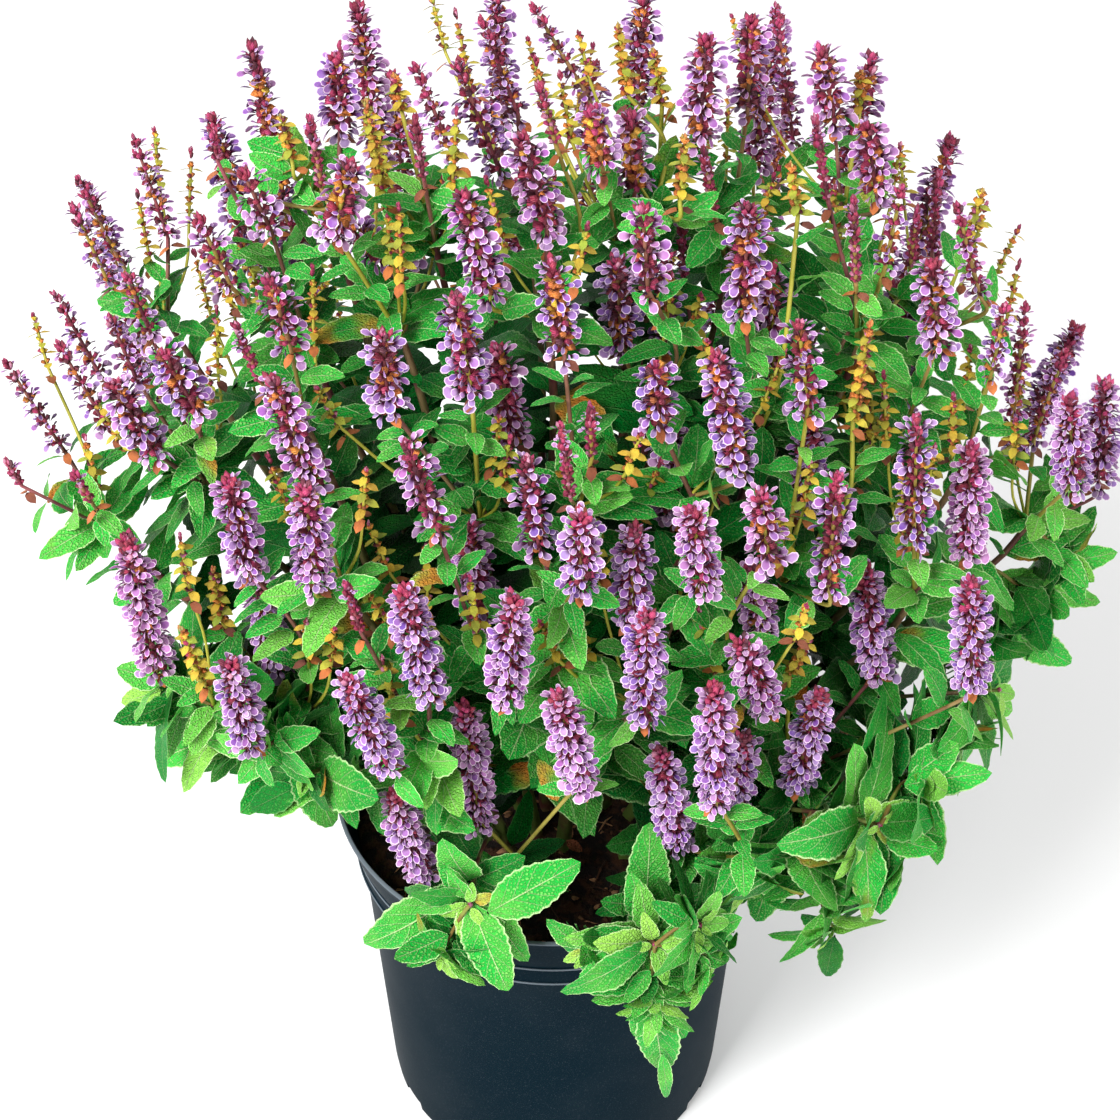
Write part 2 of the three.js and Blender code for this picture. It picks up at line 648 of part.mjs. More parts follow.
/** Adds a spike and the stalk below it to a skin, from a ring of four points on the stalk's foot. */
function growSpike(skin, start, one) {
  const axis = one.tip.clone().sub(one.base).normalize();
  const frame = sideways(axis);
  const path = [mean(start.map((n) => skin.points[n])), ...one.bends, one.base];
  const tangents = path.slice(1, -1).map((_, i) => path[i + 2].clone().sub(path[i]).normalize());
  const frames = carried([axis, ...tangents.reverse()], 0).reverse();
  const rings = frames.map((across, i) => ring(path[i + 1], across, 4, () => STALK_RADIUS));
  const twist = (shift) =>
    rings[0].reduce((sum, p, k) => sum + p.distanceToSquared(skin.points[start[(k + shift) % 4]]), 0);
  const shift = [0, 1, 2, 3].reduce((best, k) => (twist(k) < twist(best) ? k : best));
  const foot = start.map((_, k) => start[(k + shift) % 4]);
  const stalk = [foot, ...rings.map((points) => skin.put(points))];
  for (let i = 0; i + 1 < stalk.length; i++) skin.bridge(stalk[i], stalk[i + 1]);
  const florets = spikeRings(one, frame).map((points) => skin.put(points));
  skin.bridge(stalk[stalk.length - 1], florets[0]);
  for (let i = 0; i + 1 < florets.length; i++) {
    skin.bridge(florets[i], florets[i + 1], (k) => (i + k) % 2 !== 0);
  }
  skin.bridge(florets[florets.length - 1], skin.put([one.tip]));
}

/** The side of a square ring that faces a direction best. */
function facingSide([a, b], towards) {
  const facing = (k) => {
    const turn = (k + 0.5) * 90 * DEG;
    return Math.cos(turn) * a.dot(towards) + Math.sin(turn) * b.dot(towards);
  };
  return [0, 1, 2, 3].reduce((best, k) => (facing(k) > facing(best) ? k : best));
}

/** A head's main stalk and first spike, with a seat for each other spike's stalk. `fit` fills a seat. */
function mainStalk({ spikes: [main, ...others], fork, along }, fit) {
  const skin = new Skin();
  const frame = sideways(along);
  const foot = fork.clone().addScaledVector(along, -KNOT);
  const ringAt = (rise) => {
    const centre = foot.clone().addScaledVector(along, rise);
    return skin.put(ring(centre, frame, 4, () => HEAD_RADIUS));
  };
  let below = ringAt(0);
  skin.cap([...below].reverse());
  others.forEach((one, i) => {
    const above = ringAt((i + 1) * SIDE_STALK_SEAT);
    const side = facingSide(frame, (one.bends[0] ?? one.base).clone().sub(fork));
    const seat = Skin.side(below, above, side);
    skin.band(below, above, [side]);
    fit(skin, seat, one);
    below = above;
  });
  growSpike(skin, below, main);
  return skin.toSolid();
}

/** A flower head: the first spike stands on the main stalk, and the others' stalks grow from its sides. */
function headSolid(head) {
  const sides = [];
  const plain = mainStalk(head, (skin, seat, one) => {
    skin.cap(seat);
    const lone = new Skin();
    const foot = lone.put(seat.map((n) => skin.points[n]));
    lone.cap([...foot].reverse());
    growSpike(lone, foot, one);
    const rise = mean(foot.map((n) => lone.points[n])).sub(head.fork).dot(head.along);
    sides.push({ one, lone: lone.toSolid(), rise });
  });
  const clean = sides.every(({ lone }, i) => {
    const others = [plain, ...sides.slice(0, i).map((other) => other.lone)];
    return others.every((other) => shared(lone, other) < SEAT_SHARE);
  });
  if (clean) return mainStalk(head, growSpike);
  // Where stalks and spikes of one head run through each other, they are joined as whole bodies.
  return joined([
    plain,
    ...sides.map(({ one, rise }) => {
      const start = head.fork.clone().addScaledVector(head.along, rise);
      const way = (one.bends[0] ?? one.base).clone().sub(start).normalize();
      const skin = new Skin();
      const foot = skin.put(ring(start, sideways(way), 4, () => STALK_RADIUS * 0.75));
      skin.cap([...foot].reverse());
      growSpike(skin, foot, one);
      return skin.toSolid();
    }),
  ]);
}

// ---------------------------------------------------------------- stems and leaves

/** A leaf's notched outline on one side: shares of length and of half-width, from foot to tip. */
function outline(coarse) {
  const shares = coarse ? [0.16, 0.45, 0.78] : [0.1, 0.26, 0.44, 0.62, 0.82];
  return shares.map((share, i) => {
    const full = Math.sin(Math.PI * share ** 0.72) ** 0.85;
    return [share, full * (1 + (i % 2 ? -1 : 1) * BLADE.notch)];
  });
}

/** A leaf's outer points: its edges from foot to tip, its ribs above and below, and the tip. */
function bladePoints({ foot, way, face, length, width, droop, coarse }) {
  const across = way.clone().cross(face).normalize();
  const place = (share, side, lift) => {
    const half = (width / 2) * side;
    const rise = -droop * length * share * share + BLADE.fold * Math.abs(half) + lift;
    const onRib = foot.clone().addScaledVector(way, length * share).addScaledVector(face, rise);
    return onRib.addScaledVector(across, half);
  };
  const edge = outline(coarse);
  const ribs = coarse ? [0.42] : [0.32, 0.66];
  return {
    left: edge.map(([share, half]) => place(share, half, 0)),
    right: edge.map(([share, half]) => place(share, -half, 0)),
    upper: ribs.map((share) => place(share, 0, BLADE.thickness / 2)),
    lower: ribs.map((share) => place(share, 0, -BLADE.thickness / 2)),
    tip: place(1, 0, 0),
  };
}

/** Adds a leaf's points and triangles to a skin, growing from four corners of a stem. */
function growBlade(skin, [lowLeft, lowRight, highRight, highLeft], plan) {
  const { left, right, upper, lower, tip } = bladePoints(plan);
  const [lefts, rights, uppers, lowers] = [left, right, upper, lower].map((points) => skin.put(points));
  const [end] = skin.put([tip]);
  skin.faces.push(
    [highRight, highLeft, uppers[0]],
    [lowLeft, lowRight, lowers[0]],
    [highLeft, lowLeft, lefts[0]],
    [lowRight, highRight, rights[0]],
    [highLeft, lefts[0], uppers[0]],
    [highRight, uppers[0], rights[0]],
    [lowRight, rights[0], lowers[0]],
    [lowLeft, lowers[0], lefts[0]],
  );
  const strip = (ribs, sides, flip) => {
    const add = (p, q, r) => skin.faces.push(flip ? [p, r, q] : [p, q, r]);
    const step = Math.ceil(sides.length / ribs.length);
    ribs.forEach((rib, i) => {
      const last = Math.min((i + 1) * step, sides.length);
      for (let j = i * step; j < last; j++) add(rib, sides[j], sides[j + 1] ?? end);
      const turn = sides[(i + 1) * step];
      if (turn !== undefined) add(rib, turn, ribs[i + 1] ?? end);
    });
  };
  strip(uppers, lefts, false);
  strip(uppers, rights, true);
  strip(lowers, lefts, true);
  strip(lowers, rights, false);
}

/** A leaf as a body of its own, to test what it meets. */
function loneBlade(plan, corners) {
  const skin = new Skin();
  const foot = skin.put(corners);
  skin.cap([...foot].reverse());
  growBlade(skin, foot, plan);
  return skin.toSolid();
}

/** A branch's rings of four points: one at each end, and two round each leaf pair. */
function branchRings({ curve, pairs, head }, roll, [thick, thin], lead) {
  const last = head ? head.fork.clone().addScaledVector(head.along, -(KNOT + GAP)) : curve.v3;
  const places = [
    ...lead.map(([centre, tangent]) => ({ centre, tangent })),
    { centre: curve.v0, tangent: curve.getTangent(0) },
    ...pairs.flatMap(({ at }) =>
      [-1, 1].map((side) => {
        const tangent = curve.getTangent(at);
        return { centre: curve.getPoint(at).addScaledVector(tangent, side * LEAF_SEAT), tangent };
      }),
    ),
    { centre: last, tangent: head ? head.along : curve.getTangent(1) },
  ];
  const frames = carried(places.map(({ tangent }) => tangent), roll);
  return places.map(({ centre }, i) => {
    const r = thick + ((thin - thick) * i) / (places.length - 1);
    return ring(centre, frames[i], 4, () => r);
  });
}

/** The plans to try for the leaf that grows from one side of a leaf pair's seat. */
function leafTries(corners, pair, [grow, stand, drop]) {
  const [lowLeft, lowRight, highRight, highLeft] = corners;
  const foot = mean(corners);
  const along = highLeft.clone().sub(lowLeft).normalize();
  const out = lowRight.clone().sub(lowLeft).normalize().cross(along).normalize();
  return LEAF_TRIES.map(([shrink, lean, sway]) => {
    const angle = (pair.angle + (stand - 0.5) * 16 + lean) * DEG;
    const straight = along.clone().multiplyScalar(Math.cos(angle)).addScaledVector(out, Math.sin(angle));
    const face = along.clone().multiplyScalar(Math.sin(angle)).addScaledVector(out, -Math.cos(angle));
    const aside = straight.clone().cross(face);
    const way = straight.multiplyScalar(Math.cos(sway * DEG)).addScaledVector(aside, Math.sin(sway * DEG));
    const length = pair.length * (0.85 + 0.3 * grow) * shrink;
    const droop = BLADE.droop * (0.5 + drop);
    return { foot, way, face, length, width: length * pair.width, droop, coarse: pair.coarse };
  });
}

/** A branch with its leaves as one body. `clears` says whether a lone leaf meets nothing else. */
function branchSolid(branch, seed, radii, lead, clears) {
  const random = stream(seed);
  const rings = branchRings(branch, lead.length ? 0 : random() * 90 * DEG, radii, lead);
  const skin = new Skin();
  const numbers = rings.map((points) => skin.put(points));
  skin.cap([...numbers[0]].reverse());
  for (let i = 0; i + 1 < numbers.length; i++) {
    const level = (i - lead.length - 1) / 2;
    const pair = branch.pairs[level];
    const open = pair ? [level % 2, (level % 2) + 2] : [];
    skin.band(numbers[i], numbers[i + 1], open);
    for (const k of open) {
      const quad = Skin.side(numbers[i], numbers[i + 1], k);
      const corners = quad.map((n) => skin.points[n]);
      const draws = [random(), random(), random()];
      const plan = leafTries(corners, pair, draws).find((one) => clears(loneBlade(one, corners)));
      if (plan) growBlade(skin, quad, plan);
      else skin.cap(quad);
    }
  }
  skin.cap(numbers[numbers.length - 1]);
  return skin.toSolid();
}

/** A branch's leaves and stem. The first branch carries on from the trunk and the root. */
function grownBranch({ root, collar, rise, branches }, s, b, clears) {
  const branch = branches[b];
  const radii = [b ? BRANCH_RADIUS : TRUNK_RADIUS, BRANCH_RADIUS * (branch.head ? 0.9 : 0.5)];
  const lead = b ? [] : [[root.clone().addScaledVector(UP, -ROOT_DEPTH), UP], [collar, rise]];
  return branchSolid(branch, s * SEEDS_A_STEM + b, radii, lead, clears);
}

/** Every stem with the leaves that clear all other pieces and each other. */
function leafyStems(fixed) {
  const bare = STEMS.map((stem, s) => stem.branches.map((_, b) => grownBranch(stem, s, b, () => false)));
  const leaves = [];
  return STEMS.map((stem, s) =>
    joined(
      stem.branches.map((_, b) => {
        const otherBranches = bare.flatMap((row, i) => row.filter((_, j) => i !== s || j !== b));
        return grownBranch(stem, s, b, (leaf) => {
          const others = [...fixed, ...otherBranches, ...leaves];
          const clear = shared(leaf, bare[s][b]) < LEAF_SEAT_SHARE
            && others.every((one) => shared(leaf, one) === 0);
          if (clear) leaves.push(leaf);
          return clear;
        });
      }),
    ),
  );
}

// ---------------------------------------------------------------- the object

const group = new THREE.Group();
group.name = "potted_salvia";

const potSolid = pot();
const soilSolid = soil();
const heads = STEMS.map(({ branches }) =>
  branches.filter(({ head }) => head).map(({ head }) => headSolid(head)),
);
const stems = leafyStems([potSolid, soilSolid, ...heads.flat()]);

group.add(meshOf("pot", potSolid, MATERIALS.pot));
group.add(meshOf("soil", soilSolid, MATERIALS.soil));
stems.forEach((stem, s) => {
  group.add(meshOf(`stem_${two(s)}`, stem, MATERIALS.leaf));
  heads[s].forEach((head, h) => group.add(meshOf(`head_${two(s)}_${h + 1}`, head, MATERIALS.flower)));
});

export default group;
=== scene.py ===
"""A perennial salvia in full flower in its nursery pot, dressed over its solids.

The plant grows by the same plan as the solids: flower spikes are placed on a dome, gathered into heads, and
joined by stalks and branches to the stems that stand in the potting soil. This file repeats that plan, finds in
each stem's solid which leaves it kept, and grows the fine plant on it: florets, calyces, bracts, notched leaves
with veins, square stems, potting soil with bark, and the moulded pot. Lengths of the plan are in millimetres.
"""

import logging
import math
from dataclasses import dataclass, field
from enum import Enum, IntEnum
from functools import cache
from itertools import product
from typing import Callable, Iterator, Protocol, Sequence

import bpy
import numpy as np
from bpy.types import Collection, Material, Mesh, Node, NodeSocket, NodeTree, Object
from mathutils import Matrix, Vector
from mathutils.kdtree import KDTree


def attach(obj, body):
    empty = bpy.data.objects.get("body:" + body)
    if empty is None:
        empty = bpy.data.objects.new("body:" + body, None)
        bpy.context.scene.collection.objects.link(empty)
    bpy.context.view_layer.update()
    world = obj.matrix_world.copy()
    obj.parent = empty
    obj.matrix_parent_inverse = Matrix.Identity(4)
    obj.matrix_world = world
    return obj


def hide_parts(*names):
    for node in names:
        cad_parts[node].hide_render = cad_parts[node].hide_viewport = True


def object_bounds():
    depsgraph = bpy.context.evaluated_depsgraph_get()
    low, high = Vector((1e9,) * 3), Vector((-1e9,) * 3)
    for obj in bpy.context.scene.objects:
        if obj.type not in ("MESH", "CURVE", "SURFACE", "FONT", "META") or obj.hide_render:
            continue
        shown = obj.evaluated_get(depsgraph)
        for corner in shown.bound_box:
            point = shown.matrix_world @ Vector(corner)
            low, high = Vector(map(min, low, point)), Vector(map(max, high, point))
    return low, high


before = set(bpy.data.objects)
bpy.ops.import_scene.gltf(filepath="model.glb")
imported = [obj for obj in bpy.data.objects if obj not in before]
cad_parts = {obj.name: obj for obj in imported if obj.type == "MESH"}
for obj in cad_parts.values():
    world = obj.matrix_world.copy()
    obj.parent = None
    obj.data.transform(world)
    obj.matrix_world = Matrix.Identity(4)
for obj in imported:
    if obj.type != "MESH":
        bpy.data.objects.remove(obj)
CAD_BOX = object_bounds()

logging.basicConfig(level=logging.INFO, format="%(message)s")
LOG = logging.getLogger("salvia")

MM = 0.001
Array = np.ndarray
X, Y, Z = np.eye(3)


# ---- small tools


def unit(v: Array) -> Array:
    """The direction of a vector, or of each row of vectors."""
    return v / np.maximum(np.linalg.norm(v, axis=-1, keepdims=True), 1e-12)


def sideways(axis: Array) -> tuple[Array, Array]:
    """Two directions square to an axis and to each other.

    Args:
        axis: The unit direction.

    Returns:
        The two unit directions across it.
    """
    side = np.array([1.0, 0.0, 0.0]) if abs(axis[2]) > 0.9 else Z
    a = unit(side - axis * (side @ axis))
    return a, np.cross(axis, a)


def length_of(v: Array) -> float:
    """The length of a vector."""
    return float(np.linalg.norm(v))


def held(value: float, low: float = 0.0, high: float = 1.0) -> float:
    """A number kept between two others."""
    return min(max(value, low), high)


def turned(a: Array, b: Array, angle: float) -> Array:
    """The direction at an angle from one direction towards another that is square to it."""
    return a * math.cos(angle) + b * math.sin(angle)


def leaf_axes(along: Array, out: Array, angle: float, sway: float) -> tuple[Array, Array]:
    """The way a leaf points and its upper side's direction.

    Args:
        along: The stem's direction.
        out: The direction in which it grows off the stem.
        angle: Its angle off the stem, in radians.
        sway: How far it sways aside, in radians.

    Returns:
        The two unit directions.
    """
    straight, face = turned(along, out, angle), turned(-out, along, angle)
    return turned(straight, np.cross(straight, face), sway), face


class Draws:
    """A repeatable stream of numbers from 0 to 1."""

    SPAN = 1 << 32

    def __init__(self, seed: int) -> None:
        """Starts the stream of a number."""
        self.state = (seed + 1) * 2654435761 % self.SPAN

    def __call__(self) -> float:
        """The next number."""
        self.state = (self.state * 1664525 + 1013904223) % self.SPAN
        return self.state / self.SPAN

    def stray(self, width: float) -> float:
        """The next number, spread over a width about 0."""
        return width * (self() - 0.5)


def apart(base: Array, tip: Array, bases: Array, tips: Array) -> Array:
    """The shortest distances from one straight stretch to several.

    Args:
        base: The stretch's start.
        tip: Its end.
        bases: The other stretches' starts, one a row.
        tips: Their ends.

    Returns:
        One distance a row.
    """
    d1, d2, r = tip - base, tips - bases, base - bases
    a, e, f = d1 @ d1, (d2 * d2).sum(1), (d2 * r).sum(1)
    b, c = d2 @ d1, r @ d1
    s = np.clip((b * f - c * e) / np.maximum(a * e - b * b, 1e-6), 0, 1)
    t = np.clip((b * s + f) / e, 0, 1)
    u = np.clip((b * t - c) / a, 0, 1)
    return np.linalg.norm(base + np.outer(u, d1) - bases - d2 * t[:, None], axis=1)


# ---- the plan of the plant


class Form(Enum):
    """The kinds of flower spike."""

    FULL = "full"
    SLIM = "slim"
    BUD = "bud"
    SPENT = "spent"


RADIUS = {Form.FULL: 11.5, Form.SLIM: 7.5, Form.BUD: 6.0, Form.SPENT: 6.5}


@dataclass(eq=False)
class Spike:
    """A flower spike: its form, tip and base, and the bends of the stalk below it."""

    form: Form
    tip: Array
    base: Array
    bends: list[Array] = field(default_factory=list)

    @property
    def axis(self) -> Array:
        """The direction from base to tip."""
        return unit(self.tip - self.base)

    @property
    def length(self) -> float:
        """The length from base to tip."""
        return length_of(self.tip - self.base)


@dataclass(eq=False)
class Head:
    """Spikes whose stalks part at a fork, and the direction of the branch there."""

    spikes: list[Spike]
    fork: Array
    along: Array


@dataclass(frozen=True)
class Pair:
    """A pair of leaves on a branch: place along it, blade length, width share and angle off the stem."""

    at: float
    length: float
    width: float
    angle: float


@dataclass(eq=False)
class Branch:
    """A branch's curve, the head that it carries if any, and its leaf pairs."""

    head: Head | None
    curve: list[Array]
    pairs: tuple[Pair, ...]

    def point(self, t: float) -> Array:
        """The curve's point at a share of its run."""
        p, s = self.curve, 1 - t
        return p[0] * s**3 + p[1] * 3 * s * s * t + p[2] * 3 * s * t * t + p[3] * t**3

    def points(self, steps: int) -> list[Array]:
        """The curve's points from end to end."""
        return [self.point(k / steps) for k in range(steps + 1)]

    def tangent(self, t: float) -> Array:
        """The curve's direction at a share of its run."""
        return unit(self.point(min(t + 1e-4, 1.0)) - self.point(max(t - 1e-4, 0.0)))


@dataclass(eq=False)
class Stem:
    """A stem: where it leaves the soil, where it starts to lean, its trunk's top and its branches."""

    root: Array
    collar: Array
    top: Array
    rise: Array
    branches: list[Branch]


@dataclass(eq=False)
class Leaf:
    """A leaf's frame and size. `way` runs along the midrib, and `face` is the upper side's direction."""

    foot: Array
    way: Array
    face: Array
    length: float
    width: float
    droop: float

    @property
    def tip(self) -> Array:
        """The leaf's pointed end."""
        return self.foot + self.way * self.length - self.face * self.droop * self.length


class Taken:
    """The straight stretches that are already spoken for, with their thickness and owners."""

    def __init__(self) -> None:
        """Starts with none."""
        self.rows: list[tuple[Array, Array, float, object, object]] = []

    def add(self, points: Sequence[Array], radius: float, owner: object, spike: object = None) -> None:
        """Adds the stretches between points.

        Args:
            points: The points in order.
            radius: How thick the stretches are.
            owner: The head or stem that they belong to.
            spike: The spike that they belong to, if one.
        """
        for a, b in zip(points, points[1:]):
            self.rows.append((a, b, radius, owner, spike))

    def others(self, keep: Callable[[object, object], bool]) -> tuple[Array, Array, Array]:
        """The stretches of other owners.

        Args:
            keep: Says from owner and spike whether a stretch counts.

        Returns:
            Their starts, ends and radii.
        """
        rows = [row for row in self.rows if keep(row[3], row[4])]
        return np.array([r[0] for r in rows]), np.array([r[1] for r in rows]), np.array([r[2] for r in rows])


def clear_of(points: Sequence[Array], radius: float, room: float, others: tuple[Array, Array, Array]) -> bool:
    """Whether the stretches between points keep clear of others.

    Args:
        points: The points in order.
        radius: How thick the stretches are.
        room: The least space between them and the others.
        others: The others' starts, ends and radii.

    Returns:
        True if all keep clear.
    """
    bases, tips, radii = others
    return all(bool(np.all(apart(a, b, bases, tips) > radius + radii + room)) for a, b in zip(points, points[1:]))


@dataclass(frozen=True)
class Plan:
    """The plan's sizes, which are those of the solids."""

    soil_top: float = 180.0
    root_depth: float = 22.0
    root_spread: float = 62.0
    canopy_centre: tuple[float, ...] = (0.0, 45.0, 330.0)
    canopy_radii: tuple[float, ...] = (266.0, 190.0, 265.0)
    sight_aim: tuple[float, ...] = (3.0, 0.0, 343.0)
    sight_distance: float = 1050.0
    sight_elevation: float = 41.0
    sight_step: float = 0.45
    sight_middle: float = 560.0
    forward_lean: float = 0.3
    slide_step: float = 8.0
    slide_most: float = 96.0
    slide_clear: float = 1.5
    trunk_radius: float = 4.2
    branch_radius: float = 2.0
    branch_spacing: float = 7.0
    branch_clear: float = 1.0
    leaf_seat: float = 1.7
    stalk_radius: float = 1.5
    stalk_split: float = 0.3
    stalk_clear: float = 0.6
    side_seat: float = 4.5
    fork_below: float = 18.0
    knot: float = 1.4
    gap: float = 0.3
    shoot_rise: float = 0.3
    leaf_droop: float = 0.3
    leaf_fold: float = 0.12
    leaf_tilt: float = 16.0
    collar_high: float = 4.0
    trunk_share: float = 0.22
    trunk_rise: float = 8.0
    branch_pull: float = 0.35
    back_lean: float = 0.4


P = Plan()
CROWN = np.array([0.0, 0.0, P.soil_top])
CENTRE, RADII = np.array(P.canopy_centre), np.array(P.canopy_radii)
SHARP_DOT, SHARP_BELOW = 0.75, 9.0
BOWS = ((0, 0), *((far, turn) for far in (12, 24, 36, 48) for turn in range(0, 360, 45)))
LEAF_TRIES = tuple(product((1.0, 0.8, 0.62), (0, 14, -14, 28, -28), (0, 18, -18, 36, -36)))
LEAF_PAIRS = (Pair(0.4, 62, 0.45, 66), Pair(0.8, 46, 0.47, 62))
SHOOT_PAIRS = (Pair(0.68, 44, 0.46, 70), Pair(0.84, 56, 0.44, 74), Pair(0.97, 40, 0.46, 60))
BACK_STEMS, BACK_HEADS, BACK_SPREAD = 2, 3, 26
BACK_SPIKES = ((Form.FULL, -8, 16, 74), (Form.FULL, 8, 36, 80), (Form.FULL, -3, 57, 74))
# Leafy shoots without flowers: stem, column and row on the sight grid, and the tip's y.
SHOOTS = ((10, 470, 905, -118), (11, 655, 945, -126), (11, 880, 825, -104), (6, 1000, 690, -44),
          (10, 300, 775, -96), (0, 165, 680, -64))
F, S, B, O = Form.FULL, Form.SLIM, Form.BUD, Form.SPENT
# Stems, each a list of heads, each a list of spikes: form, then the tip's and the base's column and row on the
# sight grid.
SPIKE_ROWS = (
    (
        ((S, 2, 357, 61, 446), (B, 5, 459, 22, 486), (B, 72, 472, 92, 503)),
        ((F, 125, 535, 157, 667), (O, 179, 624, 204, 681)),
        ((F, 229, 479, 248, 568), (F, 257, 568, 275, 662), (F, 229, 660, 250, 742), (O, 212, 565, 222, 622)),
    ),
    (
        ((S, 52, 288, 100, 375), (S, 55, 338, 110, 432), (F, 111, 378, 154, 452),
         (S, 107, 312, 138, 382), (F, 160, 348, 196, 410), (S, 125, 270, 150, 332)),
        ((S, 75, 173, 120, 262), (S, 70, 200, 108, 282), (S, 132, 132, 168, 238)),
        ((F, 266, 271, 290, 345), (B, 234, 321, 262, 384)),
    ),
    (
        ((F, 195, 211, 232, 288), (F, 240, 166, 270, 228), (F, 268, 176, 306, 264), (B, 212, 130, 218, 162)),
        ((F, 337, 50, 340, 128), (B, 309, 114, 322, 190), (O, 280, 112, 292, 160)),
        ((F, 352, 160, 334, 232), (F, 345, 226, 402, 266)),
    ),
    (
        ((O, 364, 96, 384, 200), (S, 412, 59, 455, 160), (B, 414, 114, 424, 180), (O, 393, 71, 402, 112)),
        ((F, 455, 57, 500, 172), (S, 479, 14, 518, 114)),
        ((F, 520, 132, 547, 228), (B, 538, 82, 556, 145), (F, 461, 188, 490, 292)),
    ),
    (
        ((S, 529, 0, 590, 100), (F, 589, 104, 602, 166), (F, 628, 108, 636, 190)),
        ((O, 617, 21, 628, 96), (O, 653, 46, 662, 106), (O, 685, 132, 680, 200)),
        ((F, 706, 32, 700, 138), (B, 703, 146, 714, 214), (F, 751, 14, 748, 106), (S, 775, 0, 793, 140)),
    ),
    (
        ((F, 821, 46, 834, 120), (O, 860, 68, 860, 108), (F, 867, 121, 876, 192)),
        ((S, 903, 182, 885, 268), (B, 918, 205, 910, 268), (B, 853, 195, 856, 285)),
        ((B, 939, 170, 932, 252), (S, 956, 200, 980, 296), (O, 983, 186, 972, 232)),
    ),
    (
        ((S, 1006, 300, 992, 372), (S, 1026, 300, 1012, 430)),
        ((S, 1067, 346, 1034, 439), (F, 1106, 380, 1098, 480), (F, 1070, 396, 1072, 484)),
        ((F, 917, 411, 914, 542), (F, 971, 446, 967, 550)),
        ((F, 931, 257, 939, 343), (F, 896, 282, 906, 396)),
    ),
    (
        ((F, 642, 200, 648, 290), (F, 616, 256, 622, 345), (F, 666, 246, 664, 345), (B, 681, 218, 684, 279)),
        ((B, 814, 114, 828, 200), (O, 790, 161, 798, 215), (F, 748, 200, 744, 312), (F, 770, 262, 774, 368)),
        ((F, 716, 350, 738, 464), (F, 656, 361, 658, 420)),
        ((F, 798, 316, 808, 408), (O, 871, 318, 853, 421), (F, 812, 420, 802, 505), (F, 838, 470, 828, 590)),
    ),
    (
        ((F, 382, 329, 389, 407), (F, 454, 293, 471, 389), (F, 496, 343, 514, 439)),
        ((F, 271, 375, 314, 482), (F, 304, 486, 316, 581)),
        ((F, 550, 257, 564, 352), (B, 560, 421, 571, 500), (B, 589, 404, 592, 458)),
    ),
    (
        ((F, 525, 454, 539, 546), (F, 581, 514, 581, 584)),
        ((F, 667, 414, 671, 511), (F, 692, 508, 703, 585)),
        ((F, 635, 527, 631, 617), (F, 646, 612, 646, 714)),
        ((F, 404, 436, 436, 525), (F, 468, 523, 479, 617), (F, 514, 596, 507, 694)),
    ),
    (
        ((F, 404, 589, 429, 692), (F, 346, 676, 386, 762), (B, 345, 581, 361, 632)),
        ((F, 464, 703, 479, 820), (F, 393, 792, 421, 871), (F, 557, 692, 581, 781)),
    ),
    (
        ((F, 714, 685, 716, 800), (F, 746, 735, 732, 806), (F, 660, 749, 678, 842)),
        ((F, 760, 489, 768, 555), (F, 749, 567, 762, 626), (F, 739, 639, 765, 704)),
        ((F, 821, 692, 796, 781), (O, 812, 635, 789, 674), (F, 864, 567, 878, 672), (F, 971, 580, 971, 682)),
    ),
)


